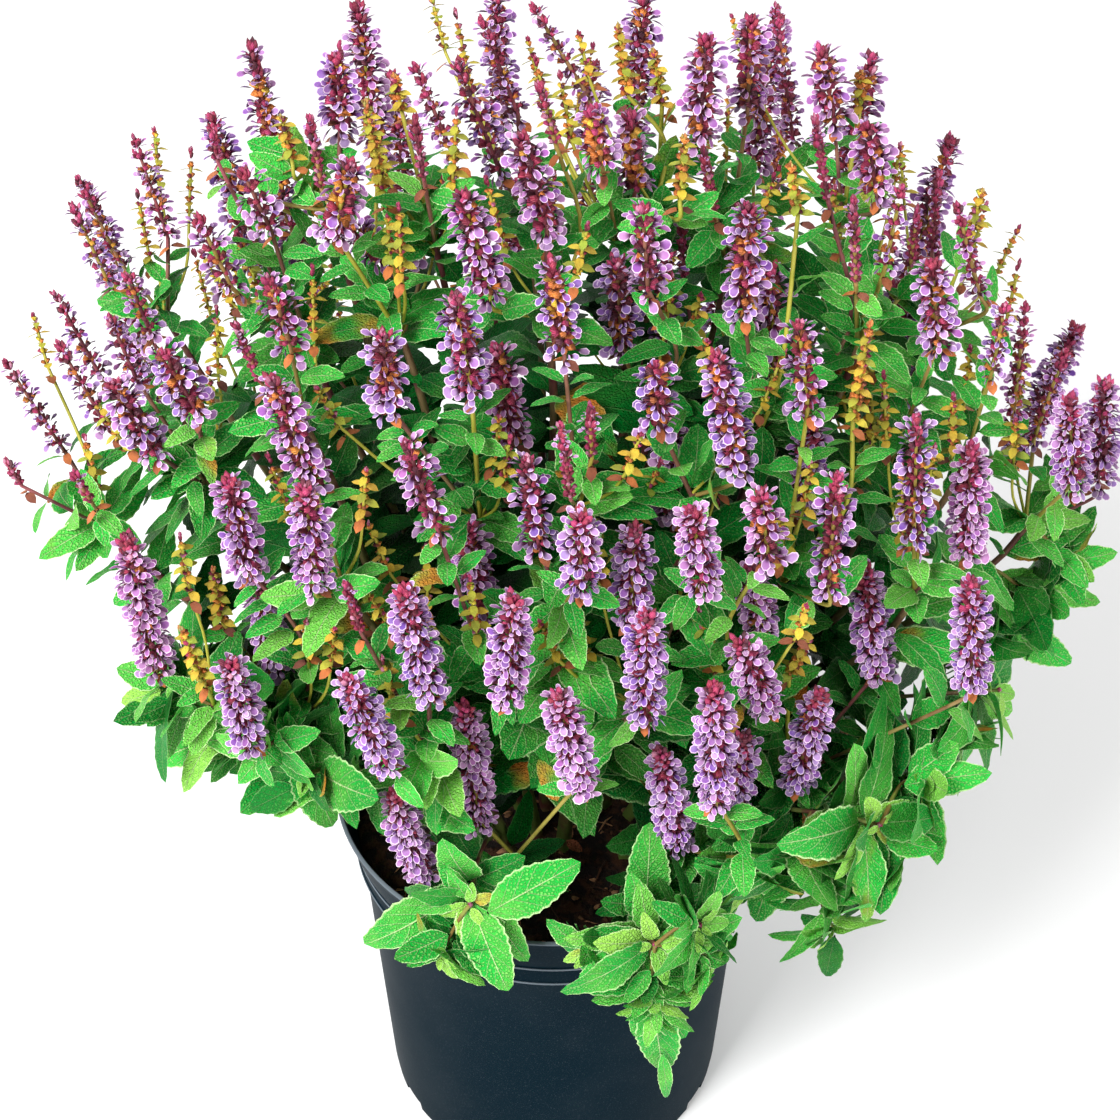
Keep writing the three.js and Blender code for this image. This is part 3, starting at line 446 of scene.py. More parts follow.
class Planner:
    """Places spikes, heads, stalks, branches and stems by the plan's rules."""

    def __init__(self) -> None:
        """Plans the whole plant."""
        tilt = math.radians(P.sight_elevation)
        self.back_in_view = turned(-Y, Z, tilt)
        self.up_in_view = turned(Z, Y, tilt)
        self.eye = np.array(P.sight_aim) + self.back_in_view * P.sight_distance
        self.heads = [[self.plan_head(head) for head in stem] for stem in self.place_spikes()]
        self.taken = Taken()
        for head in self.all_heads():
            for one in head.spikes:
                self.taken.add([one.base, one.tip], RADIUS[one.form], head, one)
        for head in self.all_heads():
            self.bend_stalks(head)
        self.stems = self.place_stems()

    def all_heads(self) -> Iterator[Head]:
        """Every head, stem by stem."""
        return (head for stem in self.heads for head in stem)

    def sight(self, column: float, row: float) -> Array:
        """The direction from the eye through a place on the sight grid."""
        seen = np.array(P.sight_aim) + X * (column - P.sight_middle) * P.sight_step
        return unit(seen + self.up_in_view * (P.sight_middle - row) * P.sight_step - self.eye)

    def cell(self, point: Array) -> tuple[float, float]:
        """The column and row of the sight grid in which a point is seen.

        Args:
            point: The point.

        Returns:
            The column and the row.
        """
        away = point - self.eye
        scale = P.sight_distance / -float(away @ self.back_in_view) / P.sight_step
        return P.sight_middle + float(away[0]) * scale, P.sight_middle - float(away @ self.up_in_view) * scale

    def on_canopy(self, column: float, row: float) -> Array:
        """Where a sight line first meets the canopy, or passes it most closely.

        Args:
            column: The sight line's column.
            row: Its row.

        Returns:
            The point.
        """
        direction = self.sight(column, row)
        start, way = (self.eye - CENTRE) / RADII, direction / RADII
        a, b, c = way @ way, start @ way, start @ start - 1
        return self.eye + direction * ((-b - math.sqrt(max(b * b - a * c, 0.0))) / a)

    def standing(self, form: Form, tip: Array, column: float, row: float) -> Spike:
        """A spike from its tip and the place at which its base is seen.

        Args:
            form: The kind of spike.
            tip: Its tip.
            column: The base's column on the sight grid.
            row: The base's row.

        Returns:
            The spike, which leans fore or aft by its bearing.
        """
        lean = P.forward_lean * (tip[1] - CROWN[1]) / (tip[2] - CROWN[2])
        way = self.sight(column, row)
        t = (tip[1] - self.eye[1] - lean * (tip[2] - self.eye[2])) / (way[1] - lean * way[2])
        return Spike(form, tip, self.eye + way * t)

    def seen_spike(self, row: tuple, placed: list[Spike]) -> Spike:
        """A seen spike, slid back along its line of sight until it clears those placed before it.

        Args:
            row: Its form, and its tip's and its base's column and row on the sight grid.
            placed: The spikes placed before it, to which it is added.

        Returns:
            The spike.
        """
        form, column, height, base_column, base_row = row
        first, way, slide = self.on_canopy(column, height), self.sight(column, height), 0.0
        while True:
            one = self.standing(form, first + way * slide, base_column, base_row)
            room = np.array([RADIUS[form] + RADIUS[other.form] + P.slide_clear for other in placed])
            near = placed and slide < P.slide_most and not np.all(
                apart(one.base, one.tip, np.array([o.base for o in placed]), np.array([o.tip for o in placed])) > room)
            if not near:
                placed.append(one)
                return one
            slide += P.slide_step

    def place_spikes(self) -> list[list[list[Spike]]]:
        """Every stem as a list of heads, each a list of placed spikes: the seen ones, then those at the back.

        Returns:
            The heads of each stem.
        """
        placed: list[Spike] = []
        stems = [[[self.seen_spike(row, placed) for row in head] for head in stem] for stem in SPIKE_ROWS]
        count = BACK_STEMS * BACK_HEADS
        for s in range(BACK_STEMS):
            stems.append([])
            for h in range(BACK_HEADS):
                bearing = 90 + (s * BACK_HEADS + h - (count - 1) / 2) * BACK_SPREAD
                stems[-1].append([self.back_spike(form, bearing + aside, height, length)
                                  for form, aside, height, length in BACK_SPIKES])
        return stems

    @staticmethod
    def back_spike(form: Form, bearing: float, height: float, length: float) -> Spike:
        """A spike on the back of the canopy.

        Args:
            form: The kind of spike.
            bearing: Its bearing from the canopy's centre, in degrees.
            height: Its height over that centre, in degrees.
            length: Its length.

        Returns:
            The spike.
        """
        out = turned(turned(X, Y, math.radians(bearing)), Z, math.radians(height))
        tip = out * RADII + CENTRE
        return Spike(form, tip, tip - unit(unit(tip - CROWN) * P.back_lean + Z * (1 - P.back_lean)) * length)

    @staticmethod
    def plan_head(spikes: list[Spike]) -> Head:
        """A head from its spikes.

        Args:
            spikes: The spikes.

        Returns:
            The head, with its fork well below the lowest base.
        """
        middle = np.mean([s.base for s in spikes], axis=0)
        along = unit(unit(middle - CROWN) + np.mean([s.axis for s in spikes], axis=0))
        lowest = max(float((middle - s.base) @ along) for s in spikes)
        fork = middle - along * (lowest + P.side_seat * (len(spikes) - 1) + P.fork_below)
        return Head(spikes, fork, along)

    @staticmethod
    def step_aside(straight: Array, bow: tuple[float, float]) -> Array:
        """A step aside from a straight way, by how far and which way round."""
        a, b = sideways(straight)
        return turned(a * bow[0], b * bow[0], math.radians(bow[1]))

    def stalk_path(self, start: Array, one: Spike, bow: tuple[float, float]) -> list[Array]:
        """A stalk's bends and end: bowed aside, and turned below a spike that it would meet too sharply.

        Args:
            start: Where it starts.
            one: The spike that it carries.
            bow: How far and which way round it is bowed.

        Returns:
            The bends and the spike's base.
        """
        bends = [(start + one.base) / 2 + self.step_aside(unit(one.base - start), bow)] if bow[0] else []
        if unit(one.base - (bends[0] if bends else start)) @ one.axis < SHARP_DOT:
            bends.append(one.base - one.axis * SHARP_BELOW)
        return [*bends, one.base]

    def bend_stalks(self, head: Head) -> None:
        """Gives each spike of a head the bends of its stalk, clear of the other spikes and stalks.

        Args:
            head: The head.
        """
        head.spikes.sort(key=lambda one: -float(unit(one.base - head.fork) @ head.along))
        for one in head.spikes:
            others = self.taken.others(lambda _, spike, one=one: spike is not one)

            def outer(path: list[Array]) -> list[Array]:
                """The part of a stalk that has left the fork."""
                return [head.fork + (path[0] - head.fork) * P.stalk_split, *path]

            paths = [self.stalk_path(head.fork, one, bow) for bow in BOWS]
            free = (p for p in paths if clear_of(outer(p), P.stalk_radius, P.stalk_clear, others))
            path = next(free, paths[0])
            one.bends = path[:-1]
            self.taken.add(outer(path), P.stalk_radius, head, one)

    def seen_at(self, column: float, row: float, y: float) -> Array:
        """The point at a distance behind the front that is seen at a place on the sight grid."""
        way = self.sight(column, row)
        return self.eye + way * ((y - self.eye[1]) / way[1])

    @staticmethod
    def outwards(end: Array, rise: float) -> Array:
        """The direction away from the pot's axis at a point, and upwards by a share."""
        return unit(unit(np.array([end[0], end[1], 0.0])) + Z * rise)

    def place_stems(self) -> list[Stem]:
        """Every stem with its branches, each bowed aside where it would meet another stem or a flower head.

        Returns:
            The stems.
        """
        stems = []
        for heads in self.heads:
            target = np.mean([h.fork for h in heads], axis=0)
            away = target - CROWN
            spread = P.root_spread * math.hypot(away[0], away[1]) / length_of(away)
            root = turned(X, Y, math.atan2(away[1], away[0])) * spread + Z * P.soil_top
            collar = root + Z * P.collar_high
            top = root + (target - root) * P.trunk_share + Z * P.trunk_rise
            stems.append(Stem(root, collar, top, unit(top - collar), []))
        for stem in stems:
            self.taken.add([stem.root, stem.collar, stem.top], P.trunk_radius, stem)
        for s, stem in enumerate(stems):
            ends = [(head, head.fork, head.along, LEAF_PAIRS) for head in self.heads[s]]
            shoots = [self.seen_at(*place) for at, *place in SHOOTS if at == s]
            ends += [(None, end, self.outwards(end, P.shoot_rise), SHOOT_PAIRS) for end in shoots]
            for i, (head, end, along, pairs) in enumerate(ends):
                start = stem.top - stem.rise * P.branch_spacing * i
                others = self.taken.others(
                    lambda owner, _, head=head, stem=stem: owner is not stem and (head is None or owner is not head))
                branches = [Branch(head, self.bowed(start, stem.rise, end, along, bow), pairs) for bow in BOWS]
                free = (b for b in branches if clear_of(b.points(4), P.branch_radius, P.branch_clear, others))
                branch = next(free, branches[0])
                self.taken.add(branch.points(4), P.branch_radius, stem)
                stem.branches.append(branch)
        return stems

    def bowed(self, start: Array, rise: Array, end: Array, along: Array, bow: tuple[float, float]) -> list[Array]:
        """The control points of a branch's curve.

        Args:
            start: Where it leaves the trunk.
            rise: The trunk's direction.
            end: Where it ends.
            along: Its direction there.
            bow: How far and which way round it is bowed.

        Returns:
            The four points.
        """
        reach, aside = length_of(end - start), self.step_aside(unit(end - start), bow)
        return [start, start + rise * P.branch_pull * reach + aside, end - along * P.branch_pull * reach + aside, end]


# ---- leaves that the solids kept


class LeafFinder:
    """Finds in a stem's solid which of its planned leaves grew, and in which stance."""

    TOLERANCE = 0.05

    def __init__(self, node: Object) -> None:
        """Indexes a solid's corners.

        Args:
            node: The stem's solid.
        """
        self.tree = KDTree(len(node.data.vertices))
        for i, corner in enumerate(node.data.vertices):
            self.tree.insert(corner.co / MM, i)
        self.tree.balance()

    def kept(self, tries: Sequence[Leaf]) -> Leaf | None:
        """The stance whose tip is a corner of the solid, if one is.

        Args:
            tries: The stances in the order of their tries.

        Returns:
            The stance, or None.
        """
        for leaf in tries:
            if self.tree.find(leaf.tip)[2] < self.TOLERANCE:
                return leaf
        return None


def carried(tangents: Sequence[Array], roll: float) -> list[tuple[Array, Array]]:
    """The two directions across a branch, carried along it without twisting.

    Args:
        tangents: The branch's directions in order.
        roll: The turn at its start.

    Returns:
        The pair of directions at each place.
    """
    a, b = sideways(tangents[0])
    across = turned(a, b, roll)
    frames = []
    for t in tangents:
        across = unit(across - t * (across @ t))
        frames.append((across, np.cross(t, across)))
    return frames


def stances(corners: Sequence[Array], pair: Pair, chance: Sequence[float]) -> list[Leaf]:
    """The stances to try for the leaf that grows from one side of a stem.

    Args:
        corners: The four corners of its seat: low left, low right, high right, high left.
        pair: The leaf pair's sizes.
        chance: Three draws, for length, angle and droop.

    Returns:
        The leaves to try, the most natural one first.
    """
    grow, stand, drop = chance
    along = unit(corners[3] - corners[0])
    out = unit(np.cross(unit(corners[1] - corners[0]), along))
    leaves = []
    for shrink, lean, sway in LEAF_TRIES:
        angle = math.radians(pair.angle + (stand - 0.5) * P.leaf_tilt + lean)
        length = pair.length * (0.85 + 0.3 * grow) * shrink
        leaves.append(Leaf(np.mean(corners, axis=0), *leaf_axes(along, out, angle, math.radians(sway)),
                           length, length * pair.width, P.leaf_droop * (0.5 + drop)))
    return leaves


def grown_leaves(stem: Stem, s: int, finder: LeafFinder) -> list[Leaf]:
    """The leaves of a stem that its solid kept.

    Args:
        stem: The stem.
        s: Its number.
        finder: The finder of that stem's solid.

    Returns:
        The leaves.
    """
    leaves = []
    for b, branch in enumerate(stem.branches):
        chance = Draws(s * 16 + b)
        roll = 0.0 if b == 0 else chance() * math.pi / 2
        lead = [(stem.root - Z * P.root_depth, Z), (stem.collar, stem.rise)] if b == 0 else []
        thick, thin = (P.branch_radius if b else P.trunk_radius), P.branch_radius * (0.9 if branch.head else 0.5)
        places = [*lead, (branch.curve[0], branch.tangent(0))]
        for pair in branch.pairs:
            tangent = branch.tangent(pair.at)
            places += [(branch.point(pair.at) + tangent * side * P.leaf_seat, tangent) for side in (-1, 1)]
        head = branch.head
        places.append((head.fork - head.along * (P.knot + P.gap), head.along) if head
                      else (branch.curve[3], branch.tangent(1)))
        frames = carried([tangent for _, tangent in places], roll)
        rings = []
        for i, ((centre, _), (a, c)) in enumerate(zip(places, frames)):
            r = thick + (thin - thick) * i / (len(places) - 1)
            rings.append([centre + a * r, centre + c * r, centre - a * r, centre - c * r])
        for level, pair in enumerate(branch.pairs):
            low, high = rings[len(lead) + 1 + 2 * level], rings[len(lead) + 2 + 2 * level]
            for k in (level % 2, level % 2 + 2):
                n = (k + 1) % 4
                tries = stances([low[k], low[n], high[n], high[k]], pair, [chance(), chance(), chance()])
                leaves.append(finder.kept(tries))
    return [leaf for leaf in leaves if leaf]


# ---- small repeated shapes


def plain_mesh(name: str, points: Sequence, faces: Sequence = (), edges: Sequence = (),
               smooth: bool = True) -> Mesh:
    """A mesh in metres from points in millimetres.

    Args:
        name: The mesh's name.
        points: Its points.
        faces: Its faces, as the numbers of their points.
        edges: Its loose edges.
        smooth: Whether its faces are shaded as curved.

    Returns:
        The mesh.
    """
    made = bpy.data.meshes.new(name)
    made.from_pydata((np.array(points, float) * MM).tolist(), edges, faces)
    made.polygons.foreach_set("use_smooth", [smooth] * len(faces))
    return made


def tube_faces(rows: Sequence[Sequence[int]], foot: int, end: int) -> list[tuple[int, ...]]:
    """The faces of a closed body through rings of points.

    Args:
        rows: The numbers of each ring's points.
        foot: The number of the point at which it starts.
        end: The number of the point at which it ends.

    Returns:
        The faces.
    """
    faces = []
    for k in range(len(rows[0])):
        n = (k + 1) % len(rows[0])
        faces.append((foot, rows[0][n], rows[0][k]))
        faces += [(low[k], low[n], high[n], high[k]) for low, high in zip(rows, rows[1:])]
        faces.append((rows[-1][k], rows[-1][n], end))
    return faces


def ring(radius: float, sides: int) -> list[tuple[float, float]]:
    """The X and Y of points on a circle."""
    return [(radius * math.cos(math.tau * k / sides), radius * math.sin(math.tau * k / sides)) for k in range(sides)]


def new_object(name: str, mesh: Mesh) -> Object:
    """A scene object at the origin that shows a mesh.

    Args:
        name: The object's name.
        mesh: The mesh.

    Returns:
        The object, in the scene's collection.
    """
    made = bpy.data.objects.new(name, mesh)
    bpy.context.scene.collection.objects.link(made)
    return made


class Solid:
    """Points and faces in millimetres, with a place along and across for each point, gathered into one mesh."""

    def __init__(self) -> None:
        """Starts empty."""
        self.points: list[Array] = []
        self.places: list[tuple[float, float]] = []
        self.faces: list[tuple[int, ...]] = []
        self.rims: list[tuple[int, int]] = []

    def put(self, point: Array, along: float = 0.0, across: float = 0.5) -> int:
        """Adds a point with its place on the surface and returns its number.

        Args:
            point: The point.
            along: Its share of the length.
            across: Its share of the width.

        Returns:
            Its number.
        """
        self.points.append(np.asarray(point, float))
        self.places.append((along, across))
        return len(self.points) - 1

    def sheet(self, stations: Sequence[float], lanes: int, surface: Callable[[float, float], Array],
              normal: Callable[[float, float], Array], thickness: float) -> None:
        """Adds a thin closed blade that narrows to a point at both ends.

        Args:
            stations: The shares of its length at which it has points, from 0 to 1.
            lanes: How many strips lie side by side, an even number.
            surface: The point of the middle surface at a share along and a share across, from -1 to 1.
            normal: The upper side's direction there.
            thickness: The blade's thickness at its middle.
        """
        first, last = self.put(surface(stations[0], 0.0), 0.0), self.put(surface(stations[-1], 0.0), 1.0)
        grids: list[list[list[int]]] = [[], []]
        for t in stations[1:-1]:
            over, under = [], []
            for j in range(lanes + 1):
                s = 2 * j / lanes - 1
                offset = normal(t, s) * thickness * (1 - 0.6 * abs(s)) / 2 * (abs(s) < 1)
                over.append(self.put(surface(t, s) + offset, t, (s + 1) / 2))
                under.append(over[-1] if abs(s) == 1 else self.put(surface(t, s) - offset, t, (s + 1) / 2))
            grids[0].append(over)
            grids[1].append(under)
        for side, grid in enumerate(grids):
            for j in range(lanes):
                cells = [(first, grid[0][j + 1], grid[0][j])]
                cells += [(a[j], a[j + 1], b[j + 1], b[j]) for a, b in zip(grid, grid[1:])]
                cells.append((grid[-1][j], grid[-1][j + 1], last))
                self.faces += [cell if (side == 0) == (k > 0) else cell[::-1] for k, cell in enumerate(cells)]
        for grid_edge in (0, lanes):
            line = [first, *(row[grid_edge] for row in grids[0]), last]
            self.rims += list(zip(line, line[1:]))

    def shell(self, rings: Sequence[tuple[Array, float]], sides: int, foot: Array, end: Array, across: Array,
              up: Array, flare: float = 0.0) -> None:
        """Adds a closed body through round rings, from a foot point to an end point.

        Args:
            rings: Each ring's centre and radius.
            sides: The points of a ring.
            foot: The point at which it starts.
            end: The point at which it ends.
            across: A direction across it.
            up: The other direction across it.
            flare: How far every other point of the last ring stands out, as teeth.
        """
        rows = []
        for i, (centre, radius) in enumerate(rings):
            row = []
            for k in range(sides):
                r = radius * (1 + (flare if i == len(rings) - 1 and k % 2 else 0))
                row.append(self.put(centre + turned(across, up, math.tau * k / sides) * r,
                                    (i + 1) / (len(rings) + 1), k / sides))
            rows.append(row)
        self.faces += tube_faces(rows, self.put(foot, 0.0), self.put(end, 1.0))

    def mesh(self, name: str, smooth: bool = True) -> Mesh:
        """The gathered mesh, in metres, with a UV map of the places along and across.

        Args:
            name: The mesh's name.
            smooth: Whether its faces are shaded as curved.

        Returns:
            The mesh.
        """
        made = plain_mesh(name, self.points, self.faces, smooth=smooth)
        layer = made.uv_layers.new(name="UVMap")
        corners = np.empty(len(made.loops), np.int32)
        made.loops.foreach_get("vertex_index", corners)
        layer.data.foreach_set("uv", np.array(self.places)[corners].ravel())
        if self.rims:
            rim = {tuple(sorted(pair)) for pair in self.rims}
            sharp = made.attributes.new("sharp_edge", "BOOLEAN", "EDGE")
            sharp.data.foreach_set("value", [tuple(sorted(e.vertices)) in rim for e in made.edges])
        return made


def petal(solid: Solid, side: Sequence[tuple[float, float]], height: Callable[[float, float], float], lift: float,
          thickness: float) -> None:
    """Adds a rounded petal to a solid, as a thin closed dish.

    Args:
        solid: The solid.
        side: Its outline on one side, as distances outwards and aside, from its foot to its end on the middle line.
        height: The rim's height at a distance outwards and aside.
        lift: How far its middle stands above its rim, or below it if negative.
        thickness: The petal's thickness.
    """
    outline = [*side, *((x, -y) for x, y in side[-2:0:-1])]
    (foot, _), (end, _) = side[0], side[-1]
    line = [solid.put(np.array([x, y, height(x, y)]), (x - foot) / (end - foot), 1.0) for x, y in outline]
    middle = foot + 0.72 * (end - foot)
    over, under = (solid.put(np.array([middle, 0.0, height(middle, 0.0) + lift + part * thickness / 2]), 0.72)
                   for part in (1, -1))
    for a, b in zip(line, [*line[1:], line[0]]):
        solid.faces += [(over, b, a), (under, a, b)]
        solid.rims.append((a, b))


class Shape(Protocol):
    """A small shape that is repeated."""

    def solid(self) -> Solid:
        """The shape's body, growing along X."""


@dataclass(frozen=True)
class FloretShape:
    """A two-lipped floret: how far the hood arches, how far the lower lip hangs, and their half-widths."""

    arch: float
    hang: float
    hood: float
    lip: float

    # The outline of each: its distances outwards, and its half-widths as shares of the greatest.
    HOOD_LINE = ((2.6, 0.0), (6.2, 0.9), (7.9, 0.85), (8.8, 0.0))
    LIP_LINE = ((3.0, 0.0), (6.6, 0.5), (8.6, 1.0), (10.4, 0.7), (11.0, 0.0))

    def hood_height(self, x: float, y: float) -> float:
        """The hood's height at a distance outwards and aside: it rises, arches and bends down at its sides."""
        out = x - self.HOOD_LINE[0][0]
        return 0.4 + (0.55 + 0.16 * self.arch) * out - 0.07 * out**2 - 0.2 * y * y

    def lip_height(self, x: float, y: float) -> float:
        """The lip's height at a distance outwards and aside: it hangs, and its sides turn up."""
        return -0.4 - (0.045 + 0.02 * self.hang) * (x - self.LIP_LINE[0][0]) ** 2 + 0.04 * y * y

    def solid(self) -> Solid:
        """The floret, growing outwards along X, with its hood above.

        Returns:
            The solid.
        """
        made = Solid()
        petal(made, [(x, y * self.hood) for x, y in self.HOOD_LINE], self.hood_height, 0.35, 0.5)
        petal(made, [(x, y * self.lip) for x, y in self.LIP_LINE], self.lip_height, -0.3, 0.4)
        return made


@dataclass(frozen=True)
class CalyxShape:
    """A calyx: a ribbed bell that holds a floret, and stays after it falls."""

    length: float
    mouth: float
    sides: int
    flare: float

    def solid(self) -> Solid:
        """The calyx, growing outwards along X and a little up.

        Returns:
            The solid.
        """
        made = Solid()
        way = unit(np.array([1.0, 0.0, 0.22]))
        up = np.cross(way, Y)
        rings = [(way * self.length * 0.42, self.mouth * 0.8), (way * self.length * 0.92, self.mouth)]
        made.shell(rings, self.sides, way * 0.4, way * self.length * 0.72, Y, -up, self.flare)
        return made


@dataclass(frozen=True)
class BudShape:
    """A closed bud or a pointed bract of a spike's crown."""

    length: float
    width: float

    def solid(self) -> Solid:
        """The bud, growing along X and bent upwards.

        Returns:
            The solid.
        """
        made = Solid()
        rings = [(np.array([self.length * 0.4, 0, 0.3]), self.width * 0.9),
                 (np.array([self.length * 0.75, 0, 0.9]), self.width)]
        made.shell(rings, 4, np.zeros(3), np.array([self.length, 0.0, 1.5]), Y, Z)
        return made


@dataclass(frozen=True)
class BladeShape:
    """A leaf of length 1 and width 1: its droop, waviness and twist, and how finely it is cut."""

    droop: float
    wave: float
    twist: float
    teeth: int
    lanes: int
    fold: float = P.leaf_fold
    notch: float = 0.04
    thickness: float = 0.014

    LONG = 100

    def half(self, t: float) -> float:
        """The half-width at a share of the length: a short stalk, then an ovate blade that narrows to its tip.

        Args:
            t: The share of the length.

        Returns:
            The half-width as a share of the length.
        """
        stalk = 0.09 if t > 0 else 0.0
        blade = math.sin(math.pi * max(t - 0.05, 0.0) ** 0.74) ** 0.8 if 0.05 < t < 1 else 0.0
        return 0.5 * max(stalk * (1 - t), blade)

    def solid(self) -> Solid:
        """The leaf, in a unit of its length along X and of its width along Y.

        Returns:
            The solid.
        """
        made = Solid()
        count = 2 * self.teeth

        def surface(t: float, s: float) -> Array:
            """A point of the blade."""
            notch = 1 + (self.notch if round(t * count) % 2 else -self.notch) * (abs(s) > 0.9)
            y = self.half(t) * s * notch
            ripple = self.wave * math.sin(11.0 * t + 1.7 * s) * abs(s) ** 1.3 * math.sin(math.pi * t)
            z = -self.droop * t * t + 0.45 * self.fold * abs(y) + ripple + self.twist * y * t
            return np.array([t, y, z]) * self.LONG

        def normal(t: float, s: float) -> Array:
            """The upper side's direction."""
            return unit(np.array([2 * self.droop * t, 0.0, 1.0]))

        stations = [k / count for k in range(count + 1)]
        stations[1] *= 0.6
        made.sheet(stations, self.lanes, surface, normal, self.LONG * self.thickness)
        return made


@dataclass(frozen=True)
class ChipShape:
    """A splinter of bark."""

    length: float
    width: float
    thickness: float
    bend: float

    def solid(self) -> Solid:
        """The splinter, lying along X.

        Returns:
            The solid.
        """
        made = Solid()
        rings = [(X * self.length * k / 3 + Z * self.bend * (1.5 - abs(k - 1.5)), self.width * w)
                 for k, w in ((0.4, 0.7), (1.6, 1.0), (2.6, 0.8))]
        made.shell(rings, 5, -X, X * self.length, Y, Z * self.thickness)
        return made


# ---- trees of nodes


Link = NodeSocket
Colour = tuple[float, float, float]
Cells = tuple[float, float, float, float]
GEOMETRY, NUMBER, WHOLE = "NodeSocketGeometry", "NodeSocketFloat", "NodeSocketInt"
COLLECTION, FINISH = "NodeSocketCollection", "NodeSocketMaterial"


class Bench:
    """Adds nodes to a node tree and wires them."""

    def __init__(self, tree: NodeTree) -> None:
        """Works on a tree."""
        self.tree = tree

    def add(self, kind: str, inputs: dict | None = None, **settings: object) -> Node:
        """Adds a node.

        Args:
            kind: The node's type.
            inputs: A value or a socket for each input, by name or number.
            **settings: The node's own settings.

        Returns:
            The node.
        """
        node = self.tree.nodes.new(kind)
        for key, value in settings.items():
            setattr(node, key, value)
        for key, value in (inputs or {}).items():
            if isinstance(value, Link):
                self.tree.links.new(value, node.inputs[key])
            else:
                node.inputs[key].default_value = value
        return node

    def math(self, operation: str, a: object, b: object = 0.0) -> Link:
        """A sum of numbers or sockets."""
        return self.add("ShaderNodeMath", {0: a, 1: b}, operation=operation).outputs[0]

    def times(self, a: object, b: object) -> Link:
        """The product of two numbers or sockets."""
        return self.math("MULTIPLY", a, b)

    def less(self, a: object, b: object) -> Link:
        """The first of two numbers or sockets less the second."""
        return self.math("SUBTRACT", a, b)

    def step(self, value: Link, low: object, high: object) -> Link:
        """A smooth step from 0 at `low` to 1 at `high`."""
        ends = {"Value": value, "From Min": low, "From Max": high}
        return self.add("ShaderNodeMapRange", ends, interpolation_type="SMOOTHSTEP").outputs[0]

    def blend(self, share: object, a: object, b: object) -> Link:
        """A mix of two colours."""
        sides = {key: side if isinstance(side, Link) else (*side, 1.0) for key, side in ((6, a), (7, b))}
        return self.add("ShaderNodeMix", {0: share, **sides}, data_type="RGBA").outputs[2]

    def wash(self, under: object, mask: Link, share: object, colour: Colour) -> Link:
        """A colour laid over another by a share of a mask."""
        return self.blend(self.times(mask, share), under, colour)

    def ramp(self, value: Link, stops: Sequence[tuple[float, Colour]]) -> Link:
        """A colour read by a number.

        Args:
            value: The number.
            stops: Places from 0 to 1 with their colours: the first, the last, then those between them.

        Returns:
            The colour.
        """
        node = self.add("ShaderNodeValToRGB", {0: value})
        for k, (place, colour) in enumerate(stops):
            stop = node.color_ramp.elements[k] if k < 2 else node.color_ramp.elements.new(place)
            stop.position, stop.color = place, (*colour, 1.0)
        return node.outputs[0]

    def use(self, group: NodeTree, values: Sequence[float] = ()) -> dict[str, Link]:
        """Adds a shared group.

        Args:
            group: The group.
            values: The values of its inputs, in their order.

        Returns:
            Its outputs by name.
        """
        node = self.add("ShaderNodeGroup", dict(enumerate(values)), node_tree=group)
        return dict(node.outputs.items())

    def attribute(self, name: str) -> Link:
        """A number that the surface carries."""
        return self.add("ShaderNodeAttribute", attribute_name=name).outputs["Fac"]

    def named(self, name: str, kind: str) -> Link:
        """A value that the points of a geometry carry."""
        node = self.add("GeometryNodeInputNamedAttribute", {"Name": name}, data_type=kind)
        return node.outputs["Attribute"]

    def own_place(self) -> Link:
        """The object's own coordinates."""
        return self.add("ShaderNodeTexCoord").outputs["Object"]

    def place(self) -> tuple[Link, Link]:
        """The place along and across the shape that a surface belongs to."""
        split = self.add("ShaderNodeSeparateXYZ", {0: self.add("ShaderNodeUVMap", uv_map="UVMap").outputs[0]})
        return split.outputs[0], split.outputs[1]


class Group(Bench):
    """A bench for a node group with named inputs and outputs."""

    def __init__(self, name: str, inputs: Sequence[tuple[str, str, object]], outputs: Sequence[str],
                 kind: str = "ShaderNodeTree") -> None:
        """Makes the group's sockets.

        Args:
            name: The group's name.
            inputs: Each input's name, socket type and value or None.
            outputs: The outputs' names.
            kind: The tree's type.
        """
        super().__init__(bpy.data.node_groups.new(name, kind))
        for label, socket, value in inputs:
            made = self.tree.interface.new_socket(label, in_out="INPUT", socket_type=socket)
            if value is not None:
                made.default_value = value
        for label in outputs:
            socket = NUMBER if kind == "ShaderNodeTree" else GEOMETRY
            self.tree.interface.new_socket(label, in_out="OUTPUT", socket_type=socket)
        self.given, self.result = self.add("NodeGroupInput"), self.add("NodeGroupOutput")

    def take(self, label: str) -> Link:
        """A named input."""
        return self.given.outputs[label]

    def give(self, *values: Link) -> NodeTree:
        """Wires the outputs in their order, and returns the tree.

        Args:
            *values: The outputs.

        Returns:
            The tree.
        """
        for value, socket in zip(values, self.result.inputs):
            self.tree.links.new(value, socket)
        return self.tree


